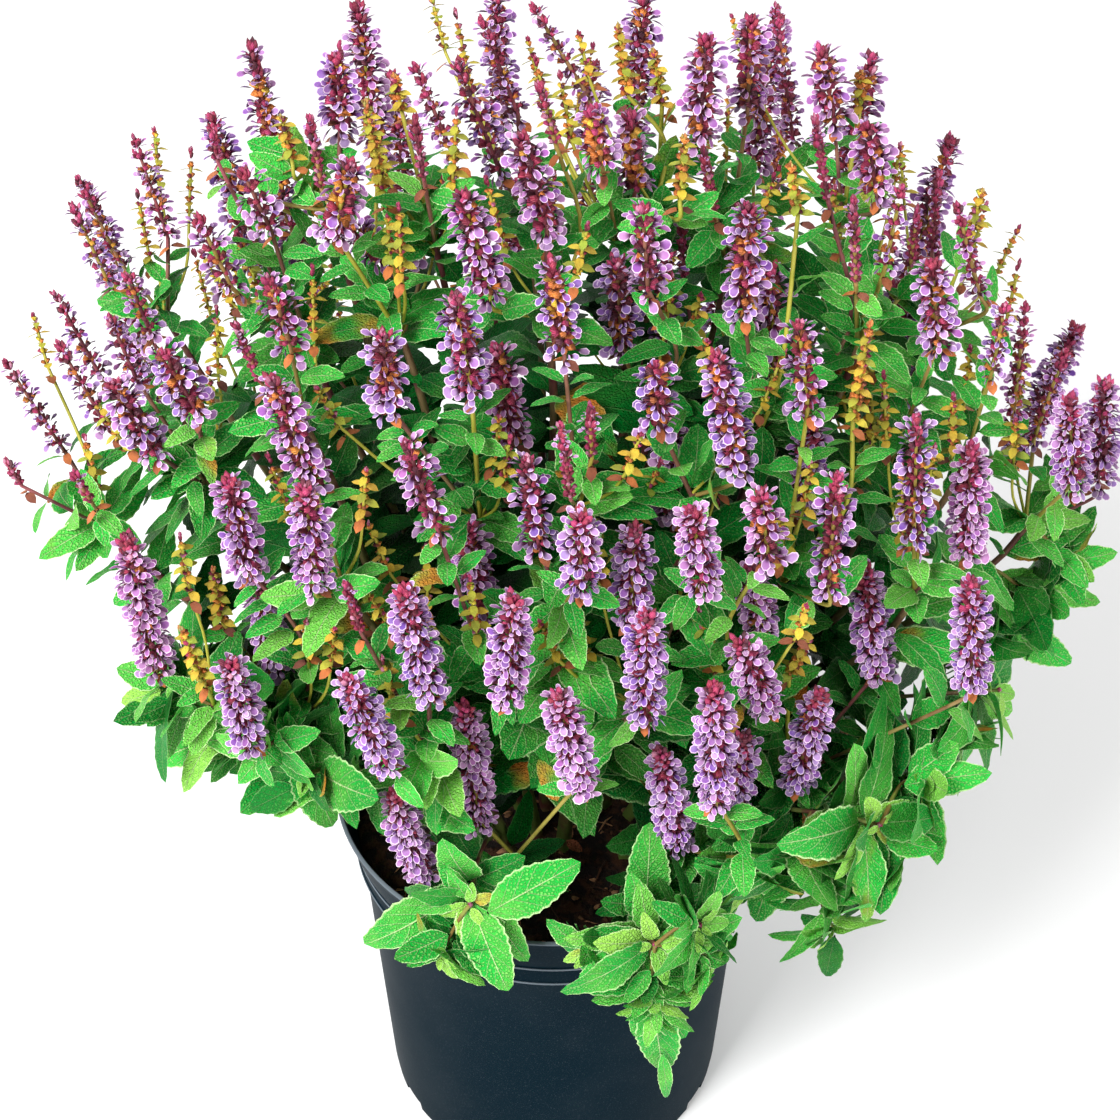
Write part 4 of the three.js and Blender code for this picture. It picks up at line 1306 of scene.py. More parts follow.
class Grower(Group):
    """A bench for a Geometry Nodes tree that ends with real shapes in their finish."""

    def __init__(self, name: str, *inputs: tuple[str, str, object]) -> None:
        """Makes the tree's sockets, the finish last.

        Args:
            name: The tree's name.
            *inputs: Each input's name, socket type and value or None.
        """
        super().__init__(name, [*inputs, ("Finish", FINISH, None)], ["Geometry"], "GeometryNodeTree")

    def shapes(self) -> Link:
        """The shapes of the collection, one by one."""
        return self.add("GeometryNodeCollectionInfo", {
            "Collection": self.take("Shapes"), "Separate Children": True, "Reset Children": True}).outputs[0]

    def chance(self, low: object, high: object, seed: object, kind: str = "FLOAT") -> Link:
        """A number or a vector drawn at random for each point.

        Args:
            low: The least.
            high: The greatest.
            seed: The stream's number.
            kind: The kind of value.

        Returns:
            The value.
        """
        first = 2 * (kind == "FLOAT")
        ends = {first: low, first + 1: high, "Seed": seed}
        return self.add("FunctionNodeRandomValue", ends, data_type=kind).outputs[first // 2]

    def finish(self, shape: Link) -> NodeTree:
        """Makes the instances real, gives them the finish and returns the tree."""
        real = self.add("GeometryNodeRealizeInstances", {0: shape}).outputs[0]
        return self.give(self.add("GeometryNodeSetMaterial", {0: real, "Material": self.take("Finish")}).outputs[0])


def grow(name: str, start: Mesh, tree: NodeTree, values: dict[str, object]) -> Mesh:
    """Runs a Geometry Nodes tree on a mesh and keeps the result as a plain mesh.

    Args:
        name: The result's name.
        start: The mesh that it starts from.
        tree: The tree.
        values: A value for each of its named inputs.

    Returns:
        The plain mesh.
    """
    seedbed = new_object(name + "_seedbed", start)
    modifier = seedbed.modifiers.new("grow", "NODES")
    modifier.node_group = tree
    sockets = {item.name: item.identifier for item in tree.interface.items_tree if item.in_out == "INPUT"}
    for key, value in values.items():
        modifier[sockets[key]] = value
    made = evaluated_mesh(seedbed)
    made.name = name
    while made.materials and made.materials[0] is None:
        made.materials.pop(index=0)
    return made


def evaluated_mesh(piece: Object) -> Mesh:
    """The plain mesh that an object's modifiers make, in the object's stead.

    Args:
        piece: The object, which is removed.

    Returns:
        The mesh.
    """
    graph = bpy.context.evaluated_depsgraph_get()
    made = bpy.data.meshes.new_from_object(piece.evaluated_get(graph), depsgraph=graph)
    bpy.data.objects.remove(piece)
    return made


def setting_tree() -> NodeTree:
    """The tree that sets a shape on each point, turned and stretched as the point says.

    Returns:
        The tree.
    """
    tree = Grower("Set on points", ("Points", GEOMETRY, None), ("Shapes", COLLECTION, None), ("Size", NUMBER, 1.0))
    sized = tree.add("ShaderNodeVectorMath", {0: tree.named("stretch", "FLOAT_VECTOR"), "Scale": tree.take("Size")},
                     operation="SCALE")
    placed = tree.add("GeometryNodeInstanceOnPoints", {
        "Points": tree.take("Points"), "Instance": tree.shapes(), "Pick Instance": True,
        "Instance Index": tree.named("shape", "INT"), "Rotation": tree.named("turn", "QUATERNION"),
        "Scale": sized.outputs[0]})
    return tree.finish(placed.outputs[0])


def stem_tree() -> NodeTree:
    """The tree that grows a square stem along each line, as thick as its points say.

    Returns:
        The tree.
    """
    tree = Grower("Square stems", ("Lines", GEOMETRY, None), ("Corner", NUMBER, 1.1), ("Hollow", NUMBER, 0.84))
    lines = tree.add("GeometryNodeMeshToCurve", {0: tree.take("Lines")})
    profile = tree.add("GeometryNodeCurveStar", {
        "Points": 4, "Inner Radius": tree.take("Hollow"), "Outer Radius": tree.take("Corner")})
    skin = tree.add("GeometryNodeCurveToMesh", {
        "Curve": lines.outputs[0], "Profile Curve": profile.outputs[0], "Scale": tree.named("girth", "FLOAT"),
        "Fill Caps": True})
    return tree.finish(skin.outputs[0])


def litter_tree() -> NodeTree:
    """The tree that scatters splinters over a surface.

    Returns:
        The tree.
    """
    tree = Grower("Scatter litter", ("Surface", GEOMETRY, None), ("Shapes", COLLECTION, None),
                  ("Pieces a square metre", NUMBER, 9000.0), ("Smallest", NUMBER, 0.5), ("Largest", NUMBER, 1.2),
                  ("Tilt", NUMBER, 0.35), ("Seed", WHOLE, 7))
    points = tree.add("GeometryNodeDistributePointsOnFaces", {
        "Mesh": tree.take("Surface"), "Density": tree.take("Pieces a square metre"), "Seed": tree.take("Seed")})
    tilt, back = tree.take("Tilt"), tree.times(tree.take("Tilt"), -1.0)
    low = tree.add("ShaderNodeCombineXYZ", {0: back, 1: back}).outputs[0]
    high = tree.add("ShaderNodeCombineXYZ", {0: tilt, 1: tilt, 2: math.tau}).outputs[0]
    marked = tree.add("GeometryNodeStoreNamedAttribute", {
        "Geometry": points.outputs[0], "Name": "tint", "Value": tree.chance(0.0, 1.0, 3)},
        data_type="FLOAT")
    placed = tree.add("GeometryNodeInstanceOnPoints", {
        "Points": marked.outputs[0], "Instance": tree.shapes(), "Pick Instance": True,
        "Rotation": tree.chance(low, high, tree.take("Seed"), "FLOAT_VECTOR"),
        "Scale": tree.chance(tree.take("Smallest"), tree.take("Largest"), tree.take("Seed"))})
    return tree.finish(placed.outputs[0])


def shape_box(name: str, shapes: Sequence[Shape], smooth: bool = True) -> Collection:
    """A hidden collection that holds one object for each shape, in order.

    Args:
        name: The collection's name.
        shapes: The shapes.
        smooth: Whether they are shaded as curved.

    Returns:
        The collection.
    """
    box = bpy.data.collections.new(name)
    for k, shape in enumerate(shapes):
        label = f"{name}_{k:02d}"
        box.objects.link(bpy.data.objects.new(label, shape.solid().mesh(label, smooth)))
    return box


class Setting:
    """Places, turns and sizes of shapes that are to be set on points."""

    KINDS = (("turn", "QUATERNION", "value"), ("stretch", "FLOAT_VECTOR", "vector"), ("shape", "INT", "value"),
             ("tint", "FLOAT", "value"), ("age", "FLOAT", "value"))

    def __init__(self) -> None:
        """Starts with none."""
        self.places: list[Array] = []
        self.rows: list[tuple] = []

    def add(self, place: Array, axes: tuple[Array, Array, Array], stretch: Sequence[float], shape: int,
            tint: float, age: float = 0.0) -> None:
        """Adds a shape.

        Args:
            place: Its place in millimetres.
            axes: The directions of its X, Y and Z.
            stretch: Its sizes along them.
            shape: Which shape of the box it is.
            tint: A number from 0 to 1 that its finish varies with.
            age: Another one.
        """
        self.places.append(place)
        self.rows.append((Matrix(np.column_stack(axes).tolist()).to_quaternion()[:], stretch, shape, tint, age))

    def points(self, name: str) -> Mesh:
        """The points with their turns, stretches, shapes, tints and ages.

        Args:
            name: The mesh's name.

        Returns:
            The mesh.
        """
        made = plain_mesh(name, self.places)
        for (label, kind, key), values in zip(self.KINDS, zip(*self.rows)):
            flat = np.array(values, np.int32 if kind == "INT" else np.float32).ravel()
            made.attributes.new(label, kind, "POINT").data.foreach_set(key, flat)
        return made


# ---- finishes


@cache
def vein_group() -> NodeTree:
    """Masks of a leaf's midrib, side veins, rim and the pillows between its finest veins, and a relief height.

    Returns:
        The group.
    """
    group = Group("Leaf veins", [("Vein pairs", NUMBER, 7.0), ("Sweep", NUMBER, 1.9), ("Net", NUMBER, 700.0)],
                  ["Midrib", "Veins", "Rim", "Quilt", "Height"])
    along, across = group.place()
    aside = group.times(group.math("ABSOLUTE", group.less(across, 0.5)), 2.0)
    midrib = group.less(1.0, group.step(aside, 0.01, 0.05))
    phase = group.less(group.times(along, group.take("Vein pairs")), group.times(aside, group.take("Sweep")))
    line = group.math("ABSOLUTE", group.less(group.math("FRACT", phase), 0.5))
    veins = group.times(group.step(line, 0.43, 0.49), group.less(1.0, group.step(aside, 0.7, 0.95)))
    cells = group.add("ShaderNodeTexVoronoi", {"Vector": group.own_place(), "Scale": group.take("Net")},
                      feature="DISTANCE_TO_EDGE")
    quilt = group.step(cells.outputs["Distance"], 0.04, 0.3)
    height = group.less(quilt, group.math("MAXIMUM", midrib, group.times(veins, 0.7)))
    return group.give(midrib, veins, group.step(aside, 0.88, 0.97), quilt, height)


@cache
def mottle_group() -> NodeTree:
    """A patchy mask in the object's own coordinates, with a finer one and a height.

    Returns:
        The group.
    """
    group = Group("Mottle", [("Coarse", NUMBER, 40.0), ("Fine", NUMBER, 900.0), ("Low", NUMBER, 0.4),
                             ("High", NUMBER, 0.7)], ["Patches", "Grain", "Height"])
    coarse, fine = (group.add("ShaderNodeTexNoise", {
        "Vector": group.own_place(), "Scale": group.take(label), "Detail": detail}).outputs[0]
        for label, detail in (("Coarse", 3.0), ("Fine", 2.0)))
    patches = group.step(coarse, group.take("Low"), group.take("High"))
    return group.give(patches, fine, group.math("ADD", group.times(fine, 0.6), patches))


@dataclass(frozen=True)
class Finish:
    """What every finish has.

    Attributes:
        name: The material's name.
        roughness: Its roughness.
        relief: How deep its relief is, in metres.
        gloss: How strongly it glares.
        down: How downy it is.
        mottle: The cells a metre of its patches and its grain, and the noise at which a patch starts and is full.
    """

    name: str
    roughness: float
    relief: float
    gloss: float = 0.3
    down: float = 0.0
    mottle: Cells = (40.0, 900.0, 0.4, 0.7)

    def paint(self, bench: Bench, patch: dict[str, Link]) -> tuple[Link, Link]:
        """The finish's colour and relief height; each kind has its own.

        Args:
            bench: The bench on which the finish is made.
            patch: The outputs of its mottle.

        Returns:
            The colour and the height.
        """
        raise NotImplementedError

    def material(self) -> Material:
        """Makes the material.

        Returns:
            The material.
        """
        made = bpy.data.materials.new(self.name)
        made.use_nodes = True
        made.node_tree.nodes.clear()
        bench = Bench(made.node_tree)
        colour, height = self.paint(bench, bench.use(mottle_group(), self.mottle))
        bump = bench.add("ShaderNodeBump", {"Height": height, "Strength": 1.0, "Distance": self.relief})
        skin = bench.add("ShaderNodeBsdfPrincipled", {
            "Base Color": colour, "Normal": bump.outputs[0], "Roughness": self.roughness,
            "Specular IOR Level": self.gloss, "Sheen Weight": self.down})
        bench.add("ShaderNodeOutputMaterial", {"Surface": skin.outputs[0]})
        return made


@dataclass(frozen=True)
class LeafFinish(Finish):
    """A leaf: painted shade darkens it inside the plant; lime when young, quilted, with pale veins and rim, a few
    browned edges.
    """

    mottle: Cells = (38.0, 700.0, 0.42, 0.68)
    # Painted shade: the dark green of leaves that stand deep inside the plant.
    deep: Colour = (0.0001, 0.034, 0.006)
    old: Colour = (0.0002, 0.20, 0.022)
    grown: Colour = (0.014, 0.44, 0.045)
    young: Colour = (0.32, 0.66, 0.09)
    # Painted highlight: lighter green laid on the raised pillows of the quilt, as if they catch the light.
    pillow_highlight: Colour = (0.42, 0.78, 0.21)
    vein: Colour = (0.66, 0.86, 0.42)
    midrib: Colour = (0.62, 0.80, 0.38)
    burnt: Colour = (0.62, 0.19, 0.03)
    dry: Colour = (0.30, 0.10, 0.05)

    def paint(self, bench: Bench, patch: dict[str, Link]) -> tuple[Link, Link]:
        """The leaf's colour and relief.

        Args:
            bench: The bench to mix on.
            patch: The mottle's outputs.

        Returns:
            The colour and the relief.
        """
        veins, age, tint = bench.use(vein_group()), bench.attribute("age"), bench.attribute("tint")
        shade = bench.math("ADD", age, bench.times(bench.less(tint, 0.5), 0.22))
        # The age attribute carries painted shade from Foliage.set_leaf, so leaves deep inside the plant fall towards
        # the darkest colour.
        blade = bench.ramp(shade, [(0.0, self.deep), (1.0, self.young), (0.25, self.old), (0.6, self.grown)])
        blade = bench.wash(blade, patch["Patches"], bench.times(age, 0.4), self.young)
        bright = bench.step(age, 0.0, 0.6)
        # The quilt's pillows take a painted highlight; the veins, rim and midrib take their own pale colours.
        for mask, share, colour in (("Quilt", 0.34, self.pillow_highlight), ("Veins", 0.36, self.vein), ("Rim", 0.8, self.vein),
                                    ("Midrib", 0.75, self.midrib)):
            blade = bench.wash(blade, veins[mask], bench.times(bright, share), colour)
        blade = bench.wash(blade, bench.step(tint, 0.955, 0.985), patch["Patches"], self.burnt)
        return bench.blend(bench.step(age, -0.5, -0.8), blade, self.dry), veins["Height"]


@dataclass(frozen=True)
class PetalFinish(Finish):
    """A floret: violet, with painted shade darkening the foot of each petal, and a pale outline."""

    mottle: Cells = (150.0, 1600.0, 0.35, 0.7)
    # Painted shade: the near-black laid on the foot of each petal, deep in the spike.
    throat_shade: Colour = (0.04, 0.001, 0.02)
    blue: Colour = (0.135, 0.05, 0.32)
    pink: Colour = (0.34, 0.09, 0.33)
    edge: Colour = (0.90, 0.70, 0.86)

    def paint(self, bench: Bench, patch: dict[str, Link]) -> tuple[Link, Link]:
        """The floret's colour and relief.

        Args:
            bench: The bench to mix on.
            patch: The mottle's outputs.

        Returns:
            The colour and the relief.
        """
        along, across = bench.place()
        out = bench.times(bench.less(across, 0.5), 2.0)
        body = bench.blend(bench.attribute("tint"), self.blue, self.pink)
        body = bench.wash(body, patch["Patches"], 0.14, self.edge)
        body = bench.wash(body, bench.attribute("age"), 0.22, self.edge)
        # Painted shade: darker towards the petal's foot.
        body = bench.blend(bench.less(1.0, bench.step(along, 0.3, 0.68)), body, self.throat_shade)
        rim = bench.times(bench.step(out, 0.74, 0.93), bench.step(along, 0.35, 0.7))
        return bench.wash(body, rim, 0.8, self.edge), patch["Height"]


@dataclass(frozen=True)
class CalyxFinish(Finish):
    """A calyx or bract: maroon to magenta when fresh, orange and brown when spent."""

    mottle: Cells = (120.0, 1500.0, 0.4, 0.65)
    fresh: Colour = (0.05, 0.004, 0.022)
    ruby: Colour = (0.36, 0.007, 0.05)
    crown: Colour = (0.56, 0.03, 0.17)
    point: Colour = (0.80, 0.34, 0.50)
    brown: Colour = (0.20, 0.045, 0.012)
    orange: Colour = (0.82, 0.24, 0.02)
    yellow: Colour = (0.88, 0.68, 0.03)
    olive: Colour = (0.38, 0.56, 0.03)
    rib: Colour = (0.75, 0.42, 0.42)

    def paint(self, bench: Bench, patch: dict[str, Link]) -> tuple[Link, Link]:
        """The calyx's colour and relief.

        Args:
            bench: The bench to mix on.
            patch: The mottle's outputs.

        Returns:
            The colour and the relief.
        """
        tint = bench.attribute("tint")
        fresh = bench.ramp(tint, [(0.0, self.fresh), (1.0, self.point), (0.4, self.ruby), (0.8, self.crown)])
        spent = bench.ramp(tint, [(0.0, self.brown), (1.0, self.olive), (0.2, self.orange), (0.6, self.orange),
                                  (0.82, self.yellow)])
        body = bench.blend(bench.attribute("age"), fresh, spent)
        ribs = bench.math("ABSOLUTE", bench.math("SINE", bench.times(bench.place()[1], 31.4)))
        body = bench.wash(bench.wash(body, ribs, 0.14, self.rib), patch["Patches"], 0.35, self.fresh)
        return body, bench.math("ADD", ribs, patch["Height"])


@dataclass(frozen=True)
class StemFinish(Finish):
    """A square stem: green and brown low down, dark purple to mauve under the spikes, yellow-green on some."""

    mottle: Cells = (60.0, 1800.0, 0.42, 0.62)
    low: Colour = (0.12, 0.21, 0.035)
    rust: Colour = (0.13, 0.04, 0.03)
    dark: Colour = (0.035, 0.008, 0.015)
    mauve: Colour = (0.30, 0.065, 0.095)
    spent: Colour = (0.46, 0.47, 0.04)

    def paint(self, bench: Bench, patch: dict[str, Link]) -> tuple[Link, Link]:
        """The stem's colour and relief.

        Args:
            bench: The bench to mix on.
            patch: The mottle's outputs.

        Returns:
            The colour and the relief.
        """
        low = bench.blend(patch["Patches"], self.low, self.rust)
        body = bench.blend(bench.attribute("shade"), low, bench.wash(self.mauve, patch["Patches"], 0.7, self.dark))
        return bench.blend(bench.attribute("spent"), body, self.spent), patch["Height"]


@dataclass(frozen=True)
class PotFinish(Finish):
    """Moulded dark plastic with a faint pale grain, a painted highlight where its ridges and rim stand proud, and a
    little dust in patches.
    """

    mottle: Cells = (26.0, 1500.0, 0.45, 0.75)
    body: Colour = (0.0012, 0.0085, 0.0145)
    # Pale grey for the specks of the grain and for the painted highlight on the proud ridges and rim.
    grain_and_highlight: Colour = (0.17, 0.20, 0.23)
    dust: Colour = (0.08, 0.09, 0.10)

    def paint(self, bench: Bench, patch: dict[str, Link]) -> tuple[Link, Link]:
        """The pot's colour and relief.

        Args:
            bench: The bench to mix on.
            patch: The mottle's outputs.

        Returns:
            The colour and the relief.
        """
        body = bench.wash(self.body, bench.step(patch["Grain"], 0.58, 0.72), 0.09, self.grain_and_highlight)
        body = bench.wash(body, patch["Patches"], 0.03, self.dust)
        # Painted highlight: the proud ridges and the rim's edge are washed pale as if they catch the light.
        return bench.wash(body, bench.step(bench.attribute("proud"), 0.35, 0.95), 0.75, self.grain_and_highlight), patch["Grain"]


@dataclass(frozen=True)
class LitterFinish(Finish):
    """Peat or bark: nearly black to rusty brown."""

    mottle: Cells = (170.0, 1200.0, 0.42, 0.66)
    dark: Colour = (0.010, 0.006, 0.005)
    brown: Colour = (0.10, 0.036, 0.014)
    pale: Colour = (0.42, 0.21, 0.10)
    share: float = 0.3

    def paint(self, bench: Bench, patch: dict[str, Link]) -> tuple[Link, Link]:
        """The litter's colour and relief.

        Args:
            bench: The bench to mix on.
            patch: The mottle's outputs.

        Returns:
            The colour and the relief.
        """
        body = bench.wash(self.dark, patch["Patches"], 0.6, self.brown)
        tint = bench.times(bench.attribute("tint"), self.share)
        return bench.blend(bench.step(tint, 0.1, 0.9), body, self.pale), patch["Height"]


# ---- sub-assemblies


def dress(name: str, mesh: Mesh, slot: str, nodes: Sequence[str] = ()) -> Object:
    """Shows a mesh as a piece of the plant.

    Args:
        name: The piece's name.
        mesh: Its mesh.
        slot: Not used.
        nodes: The solids that it stands for.

    Returns:
        The piece.
    """
    piece = new_object(name, mesh)
    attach(piece, "root")
    if nodes:
        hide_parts(*nodes)
    LOG.info("%-20s %7d triangles", name, sum(len(p.vertices) - 2 for p in mesh.polygons))
    return piece


def smooth_line(points: Sequence[Array], per: int) -> list[Array]:
    """A smooth line through points.

    Args:
        points: The points in order.
        per: How many steps it takes between two of them.

    Returns:
        The line's points.
    """
    p = [points[0] * 2 - points[1], *points, points[-1] * 2 - points[-2]]
    line = []
    for i in range(len(points) - 1):
        a, b, c, d = p[i], p[i + 1], p[i + 2], p[i + 3]
        for k in range(per):
            t = k / per
            line.append(0.5 * (2 * b + (c - a) * t + (2 * a - 5 * b + 4 * c - d) * t * t
                               + (3 * b - a - 3 * c + d) * t**3))
    return [*line, points[-1]]


@dataclass(eq=False)
class Wood:
    """The stems, branches and stalks of a few stems, as lines with a girth and a shade.

    Its sizes are half thicknesses in millimetres or shares of the trunk's, and the steps in which lines are drawn.
    """

    trunk: float = 3.9
    taper: float = 0.8
    bearing: float = 0.66
    leafy: float = 0.45
    fork: float = 1.4
    stalk: float = 0.9
    top: float = 0.7
    foot_deep: float = 6.0
    trunk_steps: int = 5
    branch_steps: int = 11
    shoot_steps: int = 8
    stalk_steps: int = 5
    points: list[Array] = field(default_factory=list)
    edges: list[tuple[int, int]] = field(default_factory=list)
    values: list[tuple[float, float, float]] = field(default_factory=list)

    def line(self, points: Sequence[Array], girths: tuple[float, float], shades: tuple[float, float],
             spent: float = 0.0) -> None:
        """Adds a line.

        Args:
            points: Its points.
            girths: The half thickness at its ends.
            shades: From 0, green and brown, to 1, mauve, at its ends.
            spent: How yellow it is.
        """
        first, last = len(self.points), len(points) - 1
        self.points += points
        self.values += [(*(a + (b - a) * (i / last) for a, b in (girths, shades)), spent) for i in range(last + 1)]
        self.edges += [(first + i, first + i + 1) for i in range(last)]

    def grow(self, stem: Stem) -> None:
        """Adds a stem with all that it carries.

        Args:
            stem: The stem.
        """
        path = [stem.root - Z * self.foot_deep, stem.collar, stem.top + stem.rise * 2]
        self.line(smooth_line(path, self.trunk_steps), (self.trunk, self.trunk * self.taper), (0.0, 0.1))
        for branch in stem.branches:
            head = branch.head
            thick, thin = (self.trunk * self.bearing, self.fork) if head else (self.trunk * self.leafy, self.stalk)
            self.line(branch.points(self.branch_steps), (thick, thin), (0.05, 0.55 if head else 0.2))
            for one in head.spikes if head else ():
                path = [head.fork - head.along * 2, *one.bends, one.base]
                self.carry(smooth_line(path, self.stalk_steps), one, self.stalk)

    def shoot(self, branch: Branch) -> None:
        """Adds a leafy side shoot's stem."""
        girth = self.stalk
        self.line(branch.points(self.shoot_steps), (girth * 1.2, girth * 0.7), (0.1, 0.2), 0.2)

    def carry(self, path: Sequence[Array], one: Spike, girth: float) -> None:
        """Adds a spike's stalk and the axis inside the spike, in a tint of its own.

        Args:
            path: The stalk's points.
            one: The spike.
            girth: The stalk's half thickness.
        """
        chance = Draws(int(one.tip[0] * 7 + one.tip[2] * 13) & 0xFFFF)
        old = 0.75 if one.form is Form.SPENT else 0.7 * max(chance() - 0.45, 0.0) / 0.55
        self.line(path, (girth, girth * 0.95), (0.3 + 0.3 * chance(), 0.7 + 0.3 * chance()), old)
        rachis = [one.base + (one.tip - one.base) * k / 4 for k in range(4)]
        self.line(rachis, (girth * 0.95, self.top), (1.0, 0.8), old)

    def lines(self, name: str) -> Mesh:
        """The lines as a mesh of edges.

        Args:
            name: The mesh's name.

        Returns:
            The mesh, whose points carry their girth, shade and yellowness.
        """
        made = plain_mesh(name, self.points, edges=self.edges)
        for label, scale, values in zip(("girth", "shade", "spent"), (MM, 1.0, 1.0), zip(*self.values)):
            flat = (np.array(values) * scale).astype(np.float32)
            made.attributes.new(label, "FLOAT", "POINT").data.foreach_set("value", flat)
        return made


@dataclass(frozen=True)
class SpikeHabit:
    """How a kind of spike carries its florets.

    Attributes:
        spacing: The millimetres between whorls.
        ring: The florets of a whorl.
        bells: The calyces of a whorl.
        crown_from: The share of the length above which there are only buds.
        pitches: The florets' angles over the horizontal at its base and its top, in degrees.
        floret: The florets' size.
        bell: The calyces' size.
        bud: The buds' size.
        ripe: The share of calyces that are ripe.
        tints: The least and the greatest tint of its calyces.
        late: The small pale florets between the buds of a whorl of its crown.
        bracts: Whether each whorl stands on a pair of small leaves.
    """

    spacing: float
    ring: int
    bells: int
    crown_from: float
    pitches: tuple[float, float]
    floret: float
    bell: float
    bud: float
    ripe: float
    tints: tuple[float, float]
    late: int = 0
    bracts: bool = False

    @property
    def spent(self) -> float:
        """How ripe the buds of its crown are."""
        return 1.0 if self.ripe > 0.8 else 0.0


LOOSE_ABOVE = 470.0
DENSE = SpikeHabit(3.3, 12, 4, 0.78, (-6, 22), 0.7, 1.05, 1.0, 0.04, (0.1, 0.75), 6)
LOOSE = SpikeHabit(4.7, 9, 6, 0.82, (-12, 28), 0.78, 0.88, 0.95, 0.24, (0.0, 0.7), 5)
FINE = SpikeHabit(5.6, 7, 6, 0.76, (-8, 34), 0.74, 0.85, 0.85, 0.1, (0.0, 0.6), 3)
FADED = SpikeHabit(4.2, 6, 7, 0.7, (0, 40), 0.7, 0.84, 0.9, 0.6, (0.0, 0.8), 3)
HABITS = {
    Form.SLIM: SpikeHabit(5.8, 6, 5, 0.7, (0, 36), 0.86, 0.95, 0.9, 0.25, (0.0, 0.7), 4),
    Form.BUD: SpikeHabit(3.6, 0, 5, 0.5, (18, 50), 0.0, 1.2, 1.15, 0.0, (0.1, 1.0), 3),
    Form.SPENT: SpikeHabit(3.7, 0, 6, 0.84, (14, 50), 0.0, 1.05, 0.9, 0.85, (0.0, 1.0), 0, True),
}
SPRIG = SpikeHabit(4.6, 0, 4, 0.8, (22, 50), 0.0, 0.85, 0.75, 0.8, (0.0, 1.0), 0, True)
FLORET_LONG = 11.7
FLORETS = (FloretShape(0.7, 0.4, 1.5, 2.1), FloretShape(1.3, 1.3, 1.4, 2.5), FloretShape(0.2, 0.0, 1.7, 2.0),
           FloretShape(1.8, 0.8, 1.5, 2.7))
CALYCES = (CalyxShape(6.4, 1.5, 5, 0.0), CalyxShape(7.0, 1.7, 5, 0.35), BudShape(4.2, 1.05), BudShape(5.0, 0.85),
           BladeShape(0.25, 0.03, 0.1, 2, 2, thickness=0.05))


class Calyx(IntEnum):
    """The shapes of the calyces' box, in order."""

    BELL = 0
    OPEN_BELL = 1
    BUD = 2
    LONG_BUD = 3
    LEAFLET = 4


@dataclass(frozen=True)
class Whorl:
    """A whorl of a spike.

    Attributes:
        spike: The spike.
        habit: Its habit.
        share: The whorl's place along it.
        number: The whorl's number from the base.
        hue: The spike's own tint, from blue to pink.
        chance: A stream of draws.
    """

    spike: Spike
    habit: SpikeHabit
    share: float
    number: int
    hue: float
    chance: Draws

    @property
    def reach(self) -> float:
        """The spike's half width here, over the length of a floret as drawn.

        Returns:
            The share.
        """
        foot = 0.86 + 0.12 * min(self.share / 0.15, 1.0)
        top = 1 - 0.42 * (max(self.share - 0.66, 0.0) / 0.34) ** 1.8
        return RADIUS[self.spike.form] * foot * top / FLORET_LONG

    @property
    def tilt(self) -> float:
        """The shapes' angle over the horizontal here, in degrees."""
        low, high = self.habit.pitches
        return low + (high - low) * self.share

    @property
    def middle(self) -> Array:
        """The whorl's middle."""
        return self.spike.base + self.spike.axis * self.spike.length * self.share

    def place(self, stray: float) -> Array:
        """A point on the spike's axis that strays from the whorl's middle."""
        return self.spike.base + self.spike.axis * (self.spike.length * self.share + stray)

    def turn(self, place: float, stray: float, count: int) -> float:
        """How far round a shape stands, in radians, with every other whorl half a place on."""
        return math.tau * (place + 0.5 * (self.number % 2) + stray) / count + self.spike.tip[0]


def stance(axis: Array, turn: float, pitch: float, roll: float = 0.0) -> tuple[Array, Array, Array]:
    """The axes of a shape that grows off a spike: outwards and up, across, and over.

    Args:
        axis: The spike's direction.
        turn: Which way round it grows, in radians.
        pitch: How far up it points, in degrees.
        roll: How far it is turned about itself, in radians.

    Returns:
        The three axes.
    """
    out, pitch = turned(*sideways(axis), turn), math.radians(pitch)
    way, over = turned(out, axis, pitch), turned(axis, -out, pitch)
    over = turned(over, np.cross(over, way), roll)
    return way, np.cross(over, way), over


